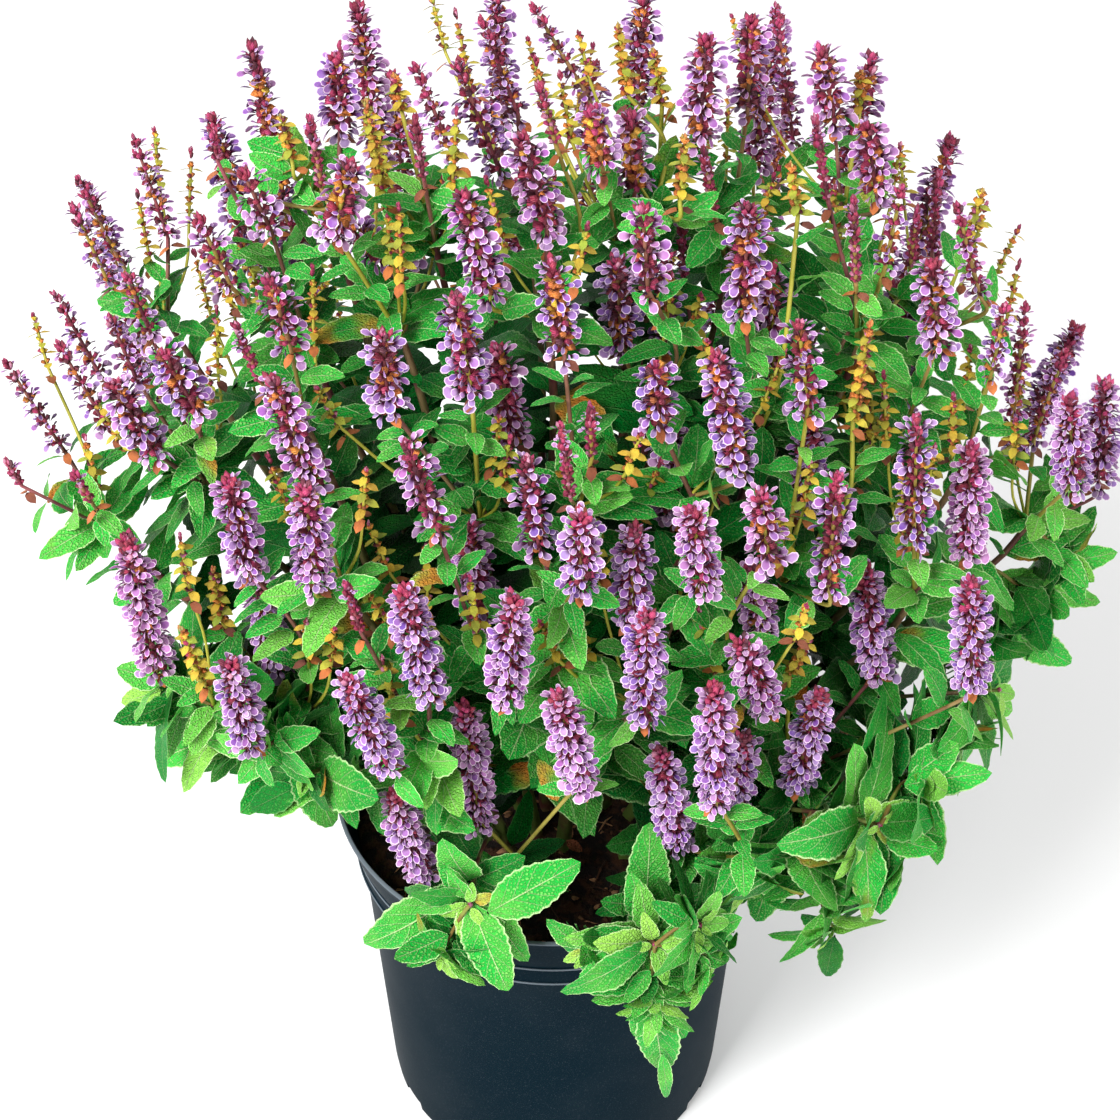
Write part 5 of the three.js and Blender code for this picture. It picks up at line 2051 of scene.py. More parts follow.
class Blossom:
    """The florets, calyces, buds and bracts of a few stems."""

    GAPS, OUT, CROWN_RING, CROWN_TOP = 0.2, 6.5, (6, 9), 0.93

    def __init__(self) -> None:
        """Starts with none."""
        self.florets = Setting()
        self.calyces = Setting()

    def open_florets(self, row: Whorl) -> None:
        """Sets a whorl's open florets, which reach out further at the foot of the spike.

        Args:
            row: The whorl.
        """
        habit, chance, reach, lowest = row.habit, row.chance, row.reach, row.number == 0
        for k in range(habit.ring):
            if chance() < self.GAPS and not lowest:
                continue
            turn, pitch = row.turn(k, chance.stray(0.7), habit.ring), row.tilt + chance.stray(52)
            s = reach * habit.floret * (0.82 + 0.3 * chance()) * (1.2 if lowest and k % 2 else 1.0)
            axes = stance(row.spike.axis, turn, pitch - (10 if lowest else 0), chance.stray(3.0))
            place = row.place(0.9 * habit.spacing * (chance() - 0.5))
            place = place + axes[0] * self.OUT * reach * (1 - habit.floret) * (0.75 + 0.4 * chance())
            tint, wide = held(row.hue + chance.stray(0.7)), 0.9 + 0.3 * chance() + (0.3 if lowest else 0.0)
            self.florets.add(place, axes, (s, wide * s, s), int(chance() * len(FLORETS)), tint,
                             0.6 + 0.4 * chance() if lowest else chance() ** 2)

    def whorl(self, row: Whorl) -> None:
        """Sets a whorl of open florets, of calyces between them and of bracts.

        Args:
            row: The whorl.
        """
        self.open_florets(row)
        habit, chance, axis = row.habit, row.chance, row.spike.axis
        low, high = habit.tints
        for k in range(habit.bells):
            turn = row.turn(k + 0.25, 0.2 * chance(), habit.bells)
            axes = stance(axis, turn, row.tilt + 14 + chance.stray(12))
            place = row.place(chance.stray(1.2))
            s = row.reach * habit.bell * (0.88 + 0.2 * chance())
            ripe = 1.0 if chance() < habit.ripe else 0.0
            self.calyces.add(place, axes, (s, s, s), Calyx.OPEN_BELL if habit.ripe > 0.1 else Calyx.BELL,
                             low + (high - low) * chance(), ripe)
        for k in range(2 if habit.bracts else 0):
            s = 0.05 * (1 - 0.4 * row.share) + 0.018
            self.calyces.add(row.middle, stance(axis, row.turn(k, 0.0, 2), 4), (s, 0.62 * s, s), Calyx.LEAFLET,
                             0.75 + 0.25 * chance(), 1.0)

    def crown(self, row: Whorl) -> None:
        """Sets a whorl of buds, with a few small pale florets between them on a spike in flower.

        Args:
            row: The whorl.
        """
        habit, chance, axis = row.habit, row.chance, row.spike.axis
        slender, ring = held(row.reach * 1.9, 0.7, 1.3), self.CROWN_RING[habit.ring > 0]
        for k in range(ring):
            turn, pitch = row.turn(k, chance.stray(0.3), ring), row.tilt + 4 + 30 * chance()
            place = row.place(chance.stray(1.6))
            s = habit.bud * slender * (0.8 + 0.4 * chance())
            tint = 0.8 * chance() + (0.3 if chance() > 0.8 else 0.0)
            self.calyces.add(place, stance(axis, turn, pitch), (s, s * 1.1, s), Calyx.BUD + k % 2,
                             min(tint, 1.0), 0.8 * habit.spent)
        for k in range(habit.late if row.share < self.CROWN_TOP else 0):
            turn = math.tau * (k + chance()) / habit.late
            axes = stance(axis, turn, 14 + 40 * chance(), chance.stray(1.6))
            s = 0.86 * row.reach * (0.8 + 0.4 * chance())
            self.florets.add(row.middle, axes, (s, s, s), 2, min(row.hue + 0.2, 1.0), 0.4 + 0.6 * chance())

    def dress_spike(self, one: Spike, seed: int, habit: SpikeHabit | None = None) -> None:
        """Sets a spike's whorls from its base to its tip.

        Args:
            one: The spike.
            seed: The number of its stream of draws.
            habit: Its habit, if not that of its form.
        """
        chance = Draws(seed)
        draw = chance()
        habit = habit or HABITS.get(one.form) or (
            DENSE if one.tip[2] < LOOSE_ABOVE else LOOSE if draw < 0.7 else FINE if draw < 0.92 else FADED)
        hue, run = 0.15 + 0.7 * chance(), one.length - 3.0
        rows = max(4, round(run / habit.spacing))
        for number in range(rows):
            row = Whorl(one, habit, (number + 0.3) * run / one.length / rows, number, hue, chance)
            (self.whorl if row.share < habit.crown_from else self.crown)(row)
        for k in range(6):
            axes = stance(one.axis, math.tau * k / 6 + 0.4, 48 + 30 * chance())
            s = 0.75 * habit.bud * (0.9 + 0.3 * chance())
            self.calyces.add(one.tip - one.axis * 4.2, axes, (s, s * 0.9, s), Calyx.BUD + k % 2,
                             0.5 + 0.5 * chance(), 0.7 * habit.spent)
        for k in range(2):
            self.calyces.add(one.base - one.axis * 4, stance(one.axis, math.pi * k + one.tip[0], -10),
                             (0.07, 0.045, 0.07), Calyx.LEAFLET, 0.3 * chance(), 0.8)

    def dress_shoot(self, shoot: Branch, seed: int) -> None:
        """Sets a tuft of tiny red buds in the rosette at the end of a leafy shoot.

        Args:
            shoot: The shoot.
            seed: The number of its stream of draws.
        """
        chance, along = Draws(seed), shoot.tangent(1)
        for k in range(9):
            s = 0.42 + 0.25 * chance()
            self.calyces.add(shoot.curve[3] - along * 1.5, stance(along, 2.4 * k, 30 + 6 * k), (s, s * 1.2, s),
                             Calyx.BUD, 0.55 + 0.45 * chance())


View = tuple[float, float, float, float]


@dataclass(eq=False)
class Foliage:
    """The leaves of a few stems: those of the solids, and the smaller ones between them.

    Its sizes are those of the blades and of the small leaves, in millimetres and degrees.
    """

    plan: Planner
    spikes: Sequence[Spike]
    droops: tuple[float, ...] = (0.15, 0.21, 0.27, 0.33, 0.39, 0.45)
    large: float = 42.0
    large_cut: tuple[int, int] = (10, 4)
    small_cut: tuple[int, int] = (6, 2)
    fill_from: float = 0.16
    fill_to: float = 0.98
    fill_steps: int = 12
    fill_short: float = 27.0
    fill_long: float = 46.0
    rosette: tuple[tuple[float, float], ...] = (
        (0.46, 40.0), (0.56, 44.0), (0.65, 44.0), (0.73, 42.0), (0.8, 40.0), (0.86, 36.0), (0.91, 32.0),
        (0.95, 25.0), (0.98, 17.0), (1.0, 10.0))
    trailing: tuple[int, float, tuple[float, float]] = (5, 40.0, (70.0, 108.0))
    attempts: int = 6
    spike_room: float = 0.86
    box_room: float = 4.0
    rim_room: float = 3.0
    soil_room: float = 4.0
    inside: float = 93.0
    skirt: float = 240.0
    front: float = -88.0
    soil_view: View = (462, 792, 668, 935)
    bare_views: tuple[View, ...] = (
        (503, 798, 640, 858), (503, 850, 598, 918), (290, 806, 402, 930), (400, 836, 434, 888))
    tucked: float = 0.5
    # Painted shade: the depths in the canopy, as shares of its radii, from fully shaded to fully lit.
    shade: tuple[float, float] = (0.56, 0.94)
    blades: Setting = field(default_factory=Setting)

    @classmethod
    def shapes(cls) -> list[BladeShape]:
        """The blades: two large ones for each droop, then two small ones.

        Returns:
            The blades in the order of their numbers.
        """
        kinds = product(enumerate(cls.droops), (cls.large_cut, cls.small_cut), range(2))
        return [BladeShape(droop, 0.01 + 0.012 * ((k + j) % 3), 0.12 * (-1) ** (k + j), *cut)
                for (k, droop), cut, j in kinds]

    def __post_init__(self) -> None:
        """Notes the spikes, which leaves keep clear of, and the model's box."""
        self.bases = np.array([one.base for one in self.spikes])
        self.tips = np.array([one.tip for one in self.spikes])
        self.radii = np.array([RADIUS[one.form] for one in self.spikes])
        self.low, self.high = (np.array(corner) / MM for corner in CAD_BOX)

    def set_leaf(self, leaf: Leaf, age: float, chance: Draws) -> None:
        """Sets a leaf, with painted shade: darker the deeper it stands inside the plant.

        Args:
            leaf: The leaf.
            age: From 0, old and dark, to 1, young and lime, or less than 0 if dry.
            chance: A stream of draws.
        """
        low, high = self.shade
        k = min(range(len(self.droops)), key=lambda i: abs(self.droops[i] - leaf.droop))
        lit = held((length_of((leaf.tip - CENTRE) / RADII) - low) / (high - low))
        # Painted shade: a low leaf over the open soil is painted dark as in shadow, and other low leaves at least
        # mostly lit.
        if leaf.tip[2] < self.skirt:
            lit = 0.1 if leaf.tip[1] > self.front and self.covers(leaf, self.soil_view) else max(lit, 0.7)
        age = age if age < 0 else age * (0.25 + 0.75 * lit) + 0.12 * lit
        shape = 4 * k + (0 if leaf.length > self.large else 2) + int(chance() * 2)
        long, wide = leaf.length / BladeShape.LONG, leaf.width / BladeShape.LONG
        self.blades.add(leaf.foot, (leaf.way, np.cross(leaf.face, leaf.way), leaf.face), (long, wide, long), shape,
                        chance(), age)

    def fits(self, leaf: Leaf) -> bool:
        """Whether a leaf keeps clear of the spikes, inside the model's box, and off the soil and the pot.

        Args:
            leaf: The leaf.

        Returns:
            True if it does.
        """
        tip = leaf.tip
        middle = leaf.foot + leaf.way * leaf.length * 0.6 - leaf.face * leaf.droop * leaf.length * 0.36
        for a, b in ((leaf.foot, middle), (middle, tip)):
            if np.any(apart(a, b, self.bases, self.tips) < self.radii * self.spike_room):
                return False
        if not (np.all(tip > self.low + self.box_room) and np.all(tip < self.high - self.box_room)):
            return False
        rim, top = Pot.rim
        return all(p[2] > top + self.rim_room or math.hypot(p[0], p[1]) > rim + self.rim_room
                   or (math.hypot(p[0], p[1]) < self.inside and p[2] > P.soil_top + self.soil_room)
                   for p in (middle, tip, (middle + tip) / 2))

    def covers(self, leaf: Leaf, *views: View) -> bool:
        """Whether a leaf is seen in a part of the sight grid.

        Args:
            leaf: The leaf.
            *views: The parts, each from a column and row to a column and row.

        Returns:
            True if it is seen in one of them.
        """
        cells = [self.plan.cell(leaf.foot + (leaf.tip - leaf.foot) * share) for share in (0.3, 0.5, 0.8, 1.0)]
        return any(left < column < right and top < row < low
                   for left, top, right, low in views for column, row in cells)

    def tuck(self, leaf: Leaf) -> Leaf:
        """A leaf as it is, or short where it would hide the open soil or the pot's rim."""
        share = self.tucked if self.covers(leaf, *self.bare_views) else 1.0
        return Leaf(leaf.foot, leaf.way, leaf.face, leaf.length * share, leaf.width * share, leaf.droop)

    def sprout(self, point: Array, along: Array, out: Array, length: float, angles: tuple[float, float],
               age: float, chance: Draws, over: bool = False) -> None:
        """Sets a small leaf on a stem if it finds room, trying shorter ones that lean closer to the stem.

        Args:
            point: The stem's point.
            along: The stem's direction.
            out: The direction in which it grows off the stem.
            length: Its length.
            angles: The least and the greatest angle off the stem, in degrees.
            age: Its age for the finish.
            chance: A stream of draws.
            over: Whether it may hide the edges of the open soil.
        """
        bare = self.bare_views if over else (self.soil_view, *self.bare_views)
        for attempt in range(self.attempts):
            angle = math.radians(angles[0] + (angles[1] - angles[0]) * chance() - 6 * attempt)
            axes = leaf_axes(along, out, angle, math.radians(chance.stray(56)))
            size = length * (0.8 + 0.45 * chance()) * (1 - 0.09 * attempt)
            leaf = Leaf(point + out * 1.1, *axes, size, size * (0.42 + 0.13 * chance()), 0.15 + 0.3 * chance())
            if self.fits(leaf) and not self.covers(leaf, *bare):
                self.set_leaf(leaf, held(age + chance.stray(0.3)), chance)
                return

    def fill(self, branch: Branch, seed: int, share: float = 1.0, angles: tuple[float, float] = (46, 84)) -> None:
        """Adds opposite pairs of smaller leaves along a branch, each pair turned square to the last.

        Args:
            branch: The branch.
            seed: The number of its stream of draws.
            share: The leaves' size, as a share of the usual.
            angles: The least and the greatest angle off the branch, in degrees.
        """
        chance = Draws(seed)
        over = branch.head is None and self.plan.cell(branch.curve[3])[1] > 890
        if branch.head:
            run, last = self.fill_to - self.fill_from, self.fill_steps - 1
            places = [self.fill_from + run * k / last for k in range(last + 1)]
            levels = [(t, self.fill_long + (self.fill_short - self.fill_long) * t, 0.15 + 0.45 * t) for t in places]
        else:
            levels = [(t, size, 0.2 + 0.8 * k / len(self.rosette)) for k, (t, size) in enumerate(self.rosette)]
        frames = carried([branch.tangent(t) for t, _, _ in levels], chance() * math.pi)
        for i, ((t, length, age), (a, b)) in enumerate(zip(levels, frames)):
            for side in (1, -1):
                self.sprout(branch.point(t), branch.tangent(t), (a if i % 2 else b) * side, length * share,
                            angles, age, chance, over)
        if not branch.head and angles[0] > 30:
            self.trail(branch, share, chance, over)

    def trail(self, shoot: Branch, share: float, chance: Draws, over: bool) -> None:
        """Adds the leaves that hang from the underside of a shoot's end.

        Args:
            shoot: The shoot.
            share: The leaves' size, as a share of the usual.
            chance: A stream of draws.
            over: Whether they may hide the edges of the open soil.
        """
        count, length, angles = self.trailing
        end, along = shoot.point(0.94), shoot.tangent(0.94)
        down = unit(-Z + along * (along @ Z))
        for k in range(count):
            out = turned(down, np.cross(along, down), math.radians(110 * (2 * k / (count - 1) - 1)))
            self.sprout(end, along, out, length * share, angles, 0.3, chance, over)

    def fill_fork(self, head: Head, seed: int) -> None:
        """Adds the small leaves below a head and along its stalks.

        Args:
            head: The head.
            seed: The number of the stream of draws.
        """
        chance = Draws(seed)
        spots = [(head.fork, head.along, 26.0)]
        for one in head.spikes:
            path = smooth_line([head.fork, *one.bends, one.base], 10)
            count = int(sum(length_of(q - p) for p, q in zip(path, path[1:])) / 11)
            for k in range(count):
                i = int((k + 0.7) / (count + 0.5) * (len(path) - 1))
                spots.append((path[i], unit(path[i + 1] - path[i]), 27.0 - 13.0 * k / max(count - 1, 1)))
        for n, (point, along, size) in enumerate(spots):
            out = turned(*sideways(along), chance() * math.pi + n * math.pi / 2)
            for side in (1, -1):
                self.sprout(point, along, out * side, size, (40, 72), 0.55, chance)


Seen = tuple[float, float, float]


@dataclass(frozen=True)
class LoneLeaf:
    """A leaf that is set by where it is seen.

    Attributes:
        stem: The number of the stem that it grows from.
        foot: The column and row of the sight grid in which its foot is seen, and its y in millimetres.
        tip: The same of its tip.
        wide: Its width in millimetres.
        age: Its age for the finish.
    """

    stem: int
    foot: Seen
    tip: Seen
    wide: float
    age: float

    def leaf(self, plan: Planner) -> Leaf:
        """The leaf, with its upper side towards the eye.

        Args:
            plan: The plant's plan.

        Returns:
            The leaf.
        """
        foot, tip = plan.seen_at(*self.foot), plan.seen_at(*self.tip)
        way, seen = unit(tip - foot), unit(plan.eye - foot)
        return Leaf(foot, way, unit(seen - way * (seen @ way)), length_of(tip - foot), self.wide, 0.1)


LONE_LEAVES = tuple(LoneLeaf(*row) for row in (
    (11, (652, 998, -133), (665, 1086, -135), 20.0, 0.35), (11, (662, 1052, -134), (669, 1108, -134), 7.0, 0.5),
    (11, (650, 1003, -131), (632, 1040, -136), 12.0, 0.4), (11, (655, 1006, -131), (690, 1042, -133), 13.0, 0.45),
    (10, (486, 914, -124), (577, 864, -116), 21.0, 0.42), (10, (560, 884, -72), (540, 900, -76), 5.0, -1.0),
    (10, (298, 748, -90), (337, 836, -96), 21.0, 0.4), (10, (298, 786, -94), (246, 812, -94), 14.0, 0.05),
    (11, (784, 829, -84), (754, 928, -104), 22.0, 0.35), (11, (835, 934, -112), (824, 984, -114), 12.0, 0.05),
    (6, (990, 574, -3), (1108, 604, -4), 15.0, 0.5), (6, (1046, 566, -3), (1119, 552, -2), 13.0, 0.55),
    (6, (1000, 626, -12), (1078, 667, -14), 17.0, 0.45), (6, (1004, 552, -3), (1090, 520, 0), 16.0, 0.4),
    (0, (204, 615, -23), (244, 584, -20), 13.0, 0.4), (0, (204, 612, -22), (214, 556, -18), 12.0, 0.3),
    (0, (156, 573, -20), (168, 526, -16), 12.0, 0.5), (0, (152, 580, -21), (110, 607, -22), 11.0, 0.6),
    (0, (165, 682, -64), (116, 668, -62), 13.0, 0.5), (0, (163, 690, -64), (118, 704, -64), 11.0, 0.85),
    (1, (333, 480, -32), (350, 436, -28), 14.0, 0.45), (3, (438, 254, 10), (462, 282, 8), 12.0, 0.5),
    (5, (825, 298, 38), (796, 250, 40), 15.0, 0.4), (5, (934, 334, 16), (952, 386, 14), 12.0, 0.5),
    (11, (566, 840, -50), (583, 852, -52), 5.0, -1.0),
))


@dataclass(frozen=True)
class SideShoot:
    """A small leafy side shoot.

    Attributes:
        stem: The number of the stem that it grows from.
        tip: The column and row of the sight grid in which its tip is seen, and its y in millimetres.
        share: Its leaves' size, as a share of a shoot's.
        rise: How steeply its end points up, or down if negative.
        angles: The least and the greatest angle of its leaves, in degrees.
    """

    stem: int
    tip: Seen
    share: float
    rise: float = 0.1
    angles: tuple[float, float] = (46, 84)

    def branch(self, plan: Planner) -> Branch:
        """The side shoot's curve, from the nearest branch of its stem.

        Args:
            plan: The plant's plan.

        Returns:
            The branch.
        """
        tip = plan.seen_at(*self.tip)
        spots = [branch.point(0.3 + 0.07 * k) for branch in plan.stems[self.stem].branches for k in range(11)]
        start = min(spots, key=lambda spot: length_of(spot - tip) + 0.6 * max(float(tip[2] - spot[2]), 0.0))
        along, reach = plan.outwards(tip, self.rise), length_of(tip - start)
        knee = start + (unit(tip - start) + Z * 0.5) * reach * 0.35
        return Branch(None, [start, knee, tip - along * reach * 0.3, tip], ())


SIDE_SHOOTS = tuple(SideShoot(*row) for row in (
    (11, (652, 1000, -132), 0.65, -1.0), (11, (655, 1016, -132), 0.45, -5.0, (20, 44)),
    (11, (700, 925, -128), 0.6), (11, (590, 950, -122), 0.5), (11, (715, 965, -126), 0.5, -0.4),
    (10, (440, 955, -124), 0.55), (11, (745, 880, -104), 0.85), (11, (800, 850, -96), 0.9),
    (11, (835, 930, -112), 0.7, -0.5), (11, (900, 850, -90), 0.7, -0.5), (11, (920, 780, -72), 0.85),
    (11, (800, 770, -60), 0.95), (6, (940, 730, -50), 0.85), (6, (990, 640, -20), 0.75),
    (10, (262, 722, -80), 0.7), (0, (190, 690, -60), 0.75), (6, (1034, 592, -8), 0.72, 0.1, (30, 70)),
    (6, (1072, 556, -2), 0.6, 0.1, (30, 66)),
))


class Thicket:
    """Thin spikes past their bloom that stand between the others."""

    LOWEST, CLEAR, TRIES, RADIUS, THIN = 265.0, 1.5, 24, 4.5, 4.0

    def __init__(self, spikes: Sequence[Spike]) -> None:
        """Starts with the planned spikes to keep clear of."""
        self.bases, self.tips = [s.base for s in spikes], [s.tip for s in spikes]
        self.radii = [RADIUS[s.form] for s in spikes]

    def room(self, base: Array, tip: Array, radius: float) -> bool:
        """Whether a stretch keeps clear of every spike."""
        gaps = apart(base, tip, np.array(self.bases), np.array(self.tips)) - np.array(self.radii)
        return bool(np.all(gaps > radius + self.CLEAR - 4.0 * (radius < 2)))

    def sprigs(self, head: Head, count: int, seed: int) -> Iterator[Spike]:
        """The thin spikes that find room at a head's fork.

        Args:
            head: The head.
            count: The most that are wanted.
            seed: The number of the stream of draws.

        Yields:
            The spikes, each with the middle of its stalk as its bend.
        """
        chance = Draws(seed)
        for _ in range(self.TRIES if head.fork[2] >= self.LOWEST else 0):
            if count == 0:
                return
            spread = np.array([chance() - 0.5, chance() - 0.5, chance() - 0.5]) * 1.3
            way = unit(head.along + spread + Z * 0.2)
            tip = head.fork + way * (58 + 46 * chance())
            base = tip - unit(way + Z * 0.8) * (22 + 18 * chance())
            bend = (head.fork + base) / 2 + spread * 6
            inside = np.linalg.norm((tip - CENTRE) / RADII) < 0.99
            if inside and self.room(base, tip, self.RADIUS) and self.room(bend, base, 1.0):
                self.bases.append(base)
                self.tips.append(tip)
                self.radii.append(self.THIN)
                count -= 1
                yield Spike(Form.SPENT, tip, base, [bend])


@dataclass(frozen=True)
class Pot:
    """The moulded pot, in millimetres: outline from the foot up, ridges, lip, rim, inside and foot notches."""

    outline: tuple[tuple[float, float], ...] = (
        (85.0, 0.0), (86.0, 0.6), (87.0, 9.0), (91.2, 84.0), (95.4, 160.5), (95.9, 162.0), (97.6, 163.3),
        (98.0, 164.0))
    ridge_heights: tuple[float, float] = (165.5, 176.5)
    ridge: float = 0.9
    ridge_proud: float = 0.7
    lip_foot: tuple[float, float] = (98.6, 174.0)
    lip_shares: tuple[float, ...] = (0.3, 0.55, 0.8, 0.94)
    rim: tuple[float, float] = (106.5, 204.0)
    # The rim's rounding: how far inside and below its edge each point lies, and how proud it stands.
    rounding: tuple[tuple[float, float, float], ...] = (
        (0.0, 1.4, 0.6), (0.0, 0.5, 1.0), (0.6, 0.0, 1.0), (1.5, 0.0, 1.0), (2.1, 0.6, 0.8), (2.3, 1.6, 0.3))
    inside: tuple[tuple[float, float], ...] = ((96.7, 174.0), (95.9, 163.4), (93.5, 161.6), (85.2, 9.0), (83.0, 2.5))
    sides: int = 120
    crease: float = 42.0
    notches: int = 6
    notch: tuple[float, float, float] = (16.0, 8.0, 6.0)

    def section(self) -> list[tuple[float, float, float]]:
        """The pot's section.

        Returns:
            Radius, height and how proud it stands, from the foot over the rim to the inside floor.
        """
        (r0, z0), (r1, z1) = self.lip_foot, self.rim
        line = [(r, z, 0.0) for r, z in self.outline]
        for height in self.ridge_heights:
            r = 98.0 + max(height - z0, 0.0) * (r1 - r0) / (z1 - z0) + 0.1
            line += [(r, height - self.ridge, 0.0), (r + self.ridge_proud, height - self.ridge * 0.4, 1.0),
                     (r + self.ridge_proud, height + self.ridge * 0.4, 1.0), (r, height + self.ridge, 0.0)]
        line += [(r0 + (r1 - r0) * t, z0 + (z1 - z0) * t, 0.0) for t in self.lip_shares]
        line += [(r1 - inwards, z1 - below, proud) for inwards, below, proud in self.rounding]
        return line + [(r, z, 0.0) for r, z in self.inside]

    def build(self, finish: Material) -> None:
        """Turns the section round, cuts the foot's notches and finishes the pot.

        Args:
            finish: The plastic.
        """
        line = self.section()
        points = [(x, y, z) for r, z, _ in line for x, y in ring(r, self.sides)]
        rows = [range(i, i + self.sides) for i in range(0, len(points), self.sides)]
        faces = tube_faces(rows, len(points), len(points) + 1)
        mesh = plain_mesh("pot_shell", [*points, (0.0, 0.0, 0.0), (0.0, 0.0, self.inside[-1][1])], faces)
        proud = [p for *_, p in line for _ in range(self.sides)] + [0.0, 0.0]
        mesh.attributes.new("proud", "FLOAT", "POINT").data.foreach_set("value", proud)
        mesh.set_sharp_from_angle(angle=math.radians(self.crease))
        mesh = self.notched(mesh)
        mesh.materials.clear()
        mesh.materials.append(finish)
        dress("pot_shell", mesh, "pot_plastic", ["pot"])

    def notched(self, mesh: Mesh) -> Mesh:
        """Cuts the notches out of the pot's foot.

        Args:
            mesh: The pot's mesh.

        Returns:
            The mesh less its notches.
        """
        (foot, _), (wide, deep, high) = self.outline[0], self.notch
        box = ((0, 1, 3, 2), (4, 6, 7, 5), (0, 4, 5, 1), (2, 3, 7, 6), (1, 5, 7, 3), (0, 2, 6, 4))
        points, faces = [], []
        for k in range(self.notches):
            turn = (k + 0.5) * math.tau / self.notches
            out, side = turned(X, Y, turn), turned(Y, -X, turn)
            faces += [tuple(len(points) + q for q in quad) for quad in box]
            points += [out * x + side * y + Z * z
                       for x, y, z in product((foot - deep, foot + 6), (-wide / 2, wide / 2), (-3.0, high))]
        body = new_object("pot_blank", mesh)
        cutter = new_object("notches", plain_mesh("notches", points, faces, smooth=False))
        cut = body.modifiers.new("cut", "BOOLEAN")
        cut.operation, cut.solver, cut.object = "DIFFERENCE", "EXACT", cutter
        made = evaluated_mesh(body)
        bpy.data.objects.remove(cutter)
        return made


@dataclass(frozen=True)
class Soil:
    """The potting soil, in millimetres: its wall from the floor up, its uneven top, and bark and needles on it."""

    wall: tuple[tuple[float, float], ...] = (
        (82.0, 2.9), (84.8, 9.0), (93.1, 161.0), (95.5, 164.0), (97.0, 174.0), (97.4, 177.0))
    rings: int = 26
    sides: int = 96
    level: float = 178.6
    swell: float = 1.08
    crumb: float = 0.65
    littered: float = 91.0
    chips: float = 16000.0
    needles: float = 2600.0
    smallest: float = 0.6
    largest: float = 1.35
    splinters: tuple[ChipShape, ...] = (
        ChipShape(4.5, 1.3, 0.5, 0.3), ChipShape(2.6, 1.4, 0.6, 0.1), ChipShape(7.0, 1.1, 0.6, 0.5),
        ChipShape(1.8, 1.0, 0.9, 0.0))
    straws: tuple[ChipShape, ...] = (ChipShape(9.0, 0.42, 0.8, 0.9), ChipShape(13.0, 0.4, 0.8, 1.6))

    def height(self, x: float, y: float) -> float:
        """The soil's uneven top at a place, a broad swell with fine crumbs on it.

        Args:
            x: The place's first coordinate.
            y: Its second.

        Returns:
            The height in millimetres.
        """
        broad = math.sin(x * 0.061 + 1.0) * math.cos(y * 0.053 - 0.6)
        fine = math.sin(x * 0.61 + y * 0.37) * math.cos(y * 0.71 - x * 0.23)
        fine += 0.6 * math.sin(x * 1.3) * math.cos(y * 1.1)
        return self.level + self.swell * broad + self.crumb * fine

    def mesh(self) -> Mesh:
        """The soil's closed body.

        Returns:
            The mesh.
        """
        points = [(0.0, 0.0, self.wall[0][1]), *((x, y, z) for r, z in self.wall for x, y in ring(r, self.sides))]
        radii = [self.wall[-1][0] * (1 - (i + 1) / self.rings) for i in range(self.rings - 1)]
        points += [(x, y, self.height(x, y)) for r in radii for x, y in ring(r, self.sides)]
        rows = [range(i, i + self.sides) for i in range(1, len(points), self.sides)]
        return plain_mesh("soil_bed", [*points, (0.0, 0.0, self.height(0.0, 0.0))],
                          tube_faces(rows, 0, len(points)))

    def top(self, body: Mesh) -> Mesh:
        """The part of the soil's top on which litter lies.

        Args:
            body: The soil's body.

        Returns:
            A mesh of its upper faces.
        """
        edge = self.littered * MM
        keep = [tuple(p.vertices) for p in body.polygons if p.normal.z > 0.5 and p.center.xy.length < edge]
        return plain_mesh("soil_top", [np.array(v.co) / MM for v in body.vertices], keep, smooth=False)

    def build(self, peat: Material, bark: Material, scatter: NodeTree) -> None:
        """Builds the soil and its litter.

        Args:
            peat: The soil's finish.
            bark: The litter's finish.
            scatter: The tree that scatters it.
        """
        body = self.mesh()
        body.materials.append(peat)
        dress("soil_bed", body, "soil", ["soil"])
        jobs = (("bark_chips", self.splinters, self.chips, 11), ("needles", self.straws, self.needles, 5))
        for name, shapes, count, seed in jobs:
            litter = grow(name, self.top(body), scatter, {
                "Shapes": shape_box(name, shapes, False), "Pieces a square metre": count, "Seed": seed,
                "Smallest": self.smallest, "Largest": self.largest, "Finish": bark})
            dress(name, litter, "soil")


# ---- the whole


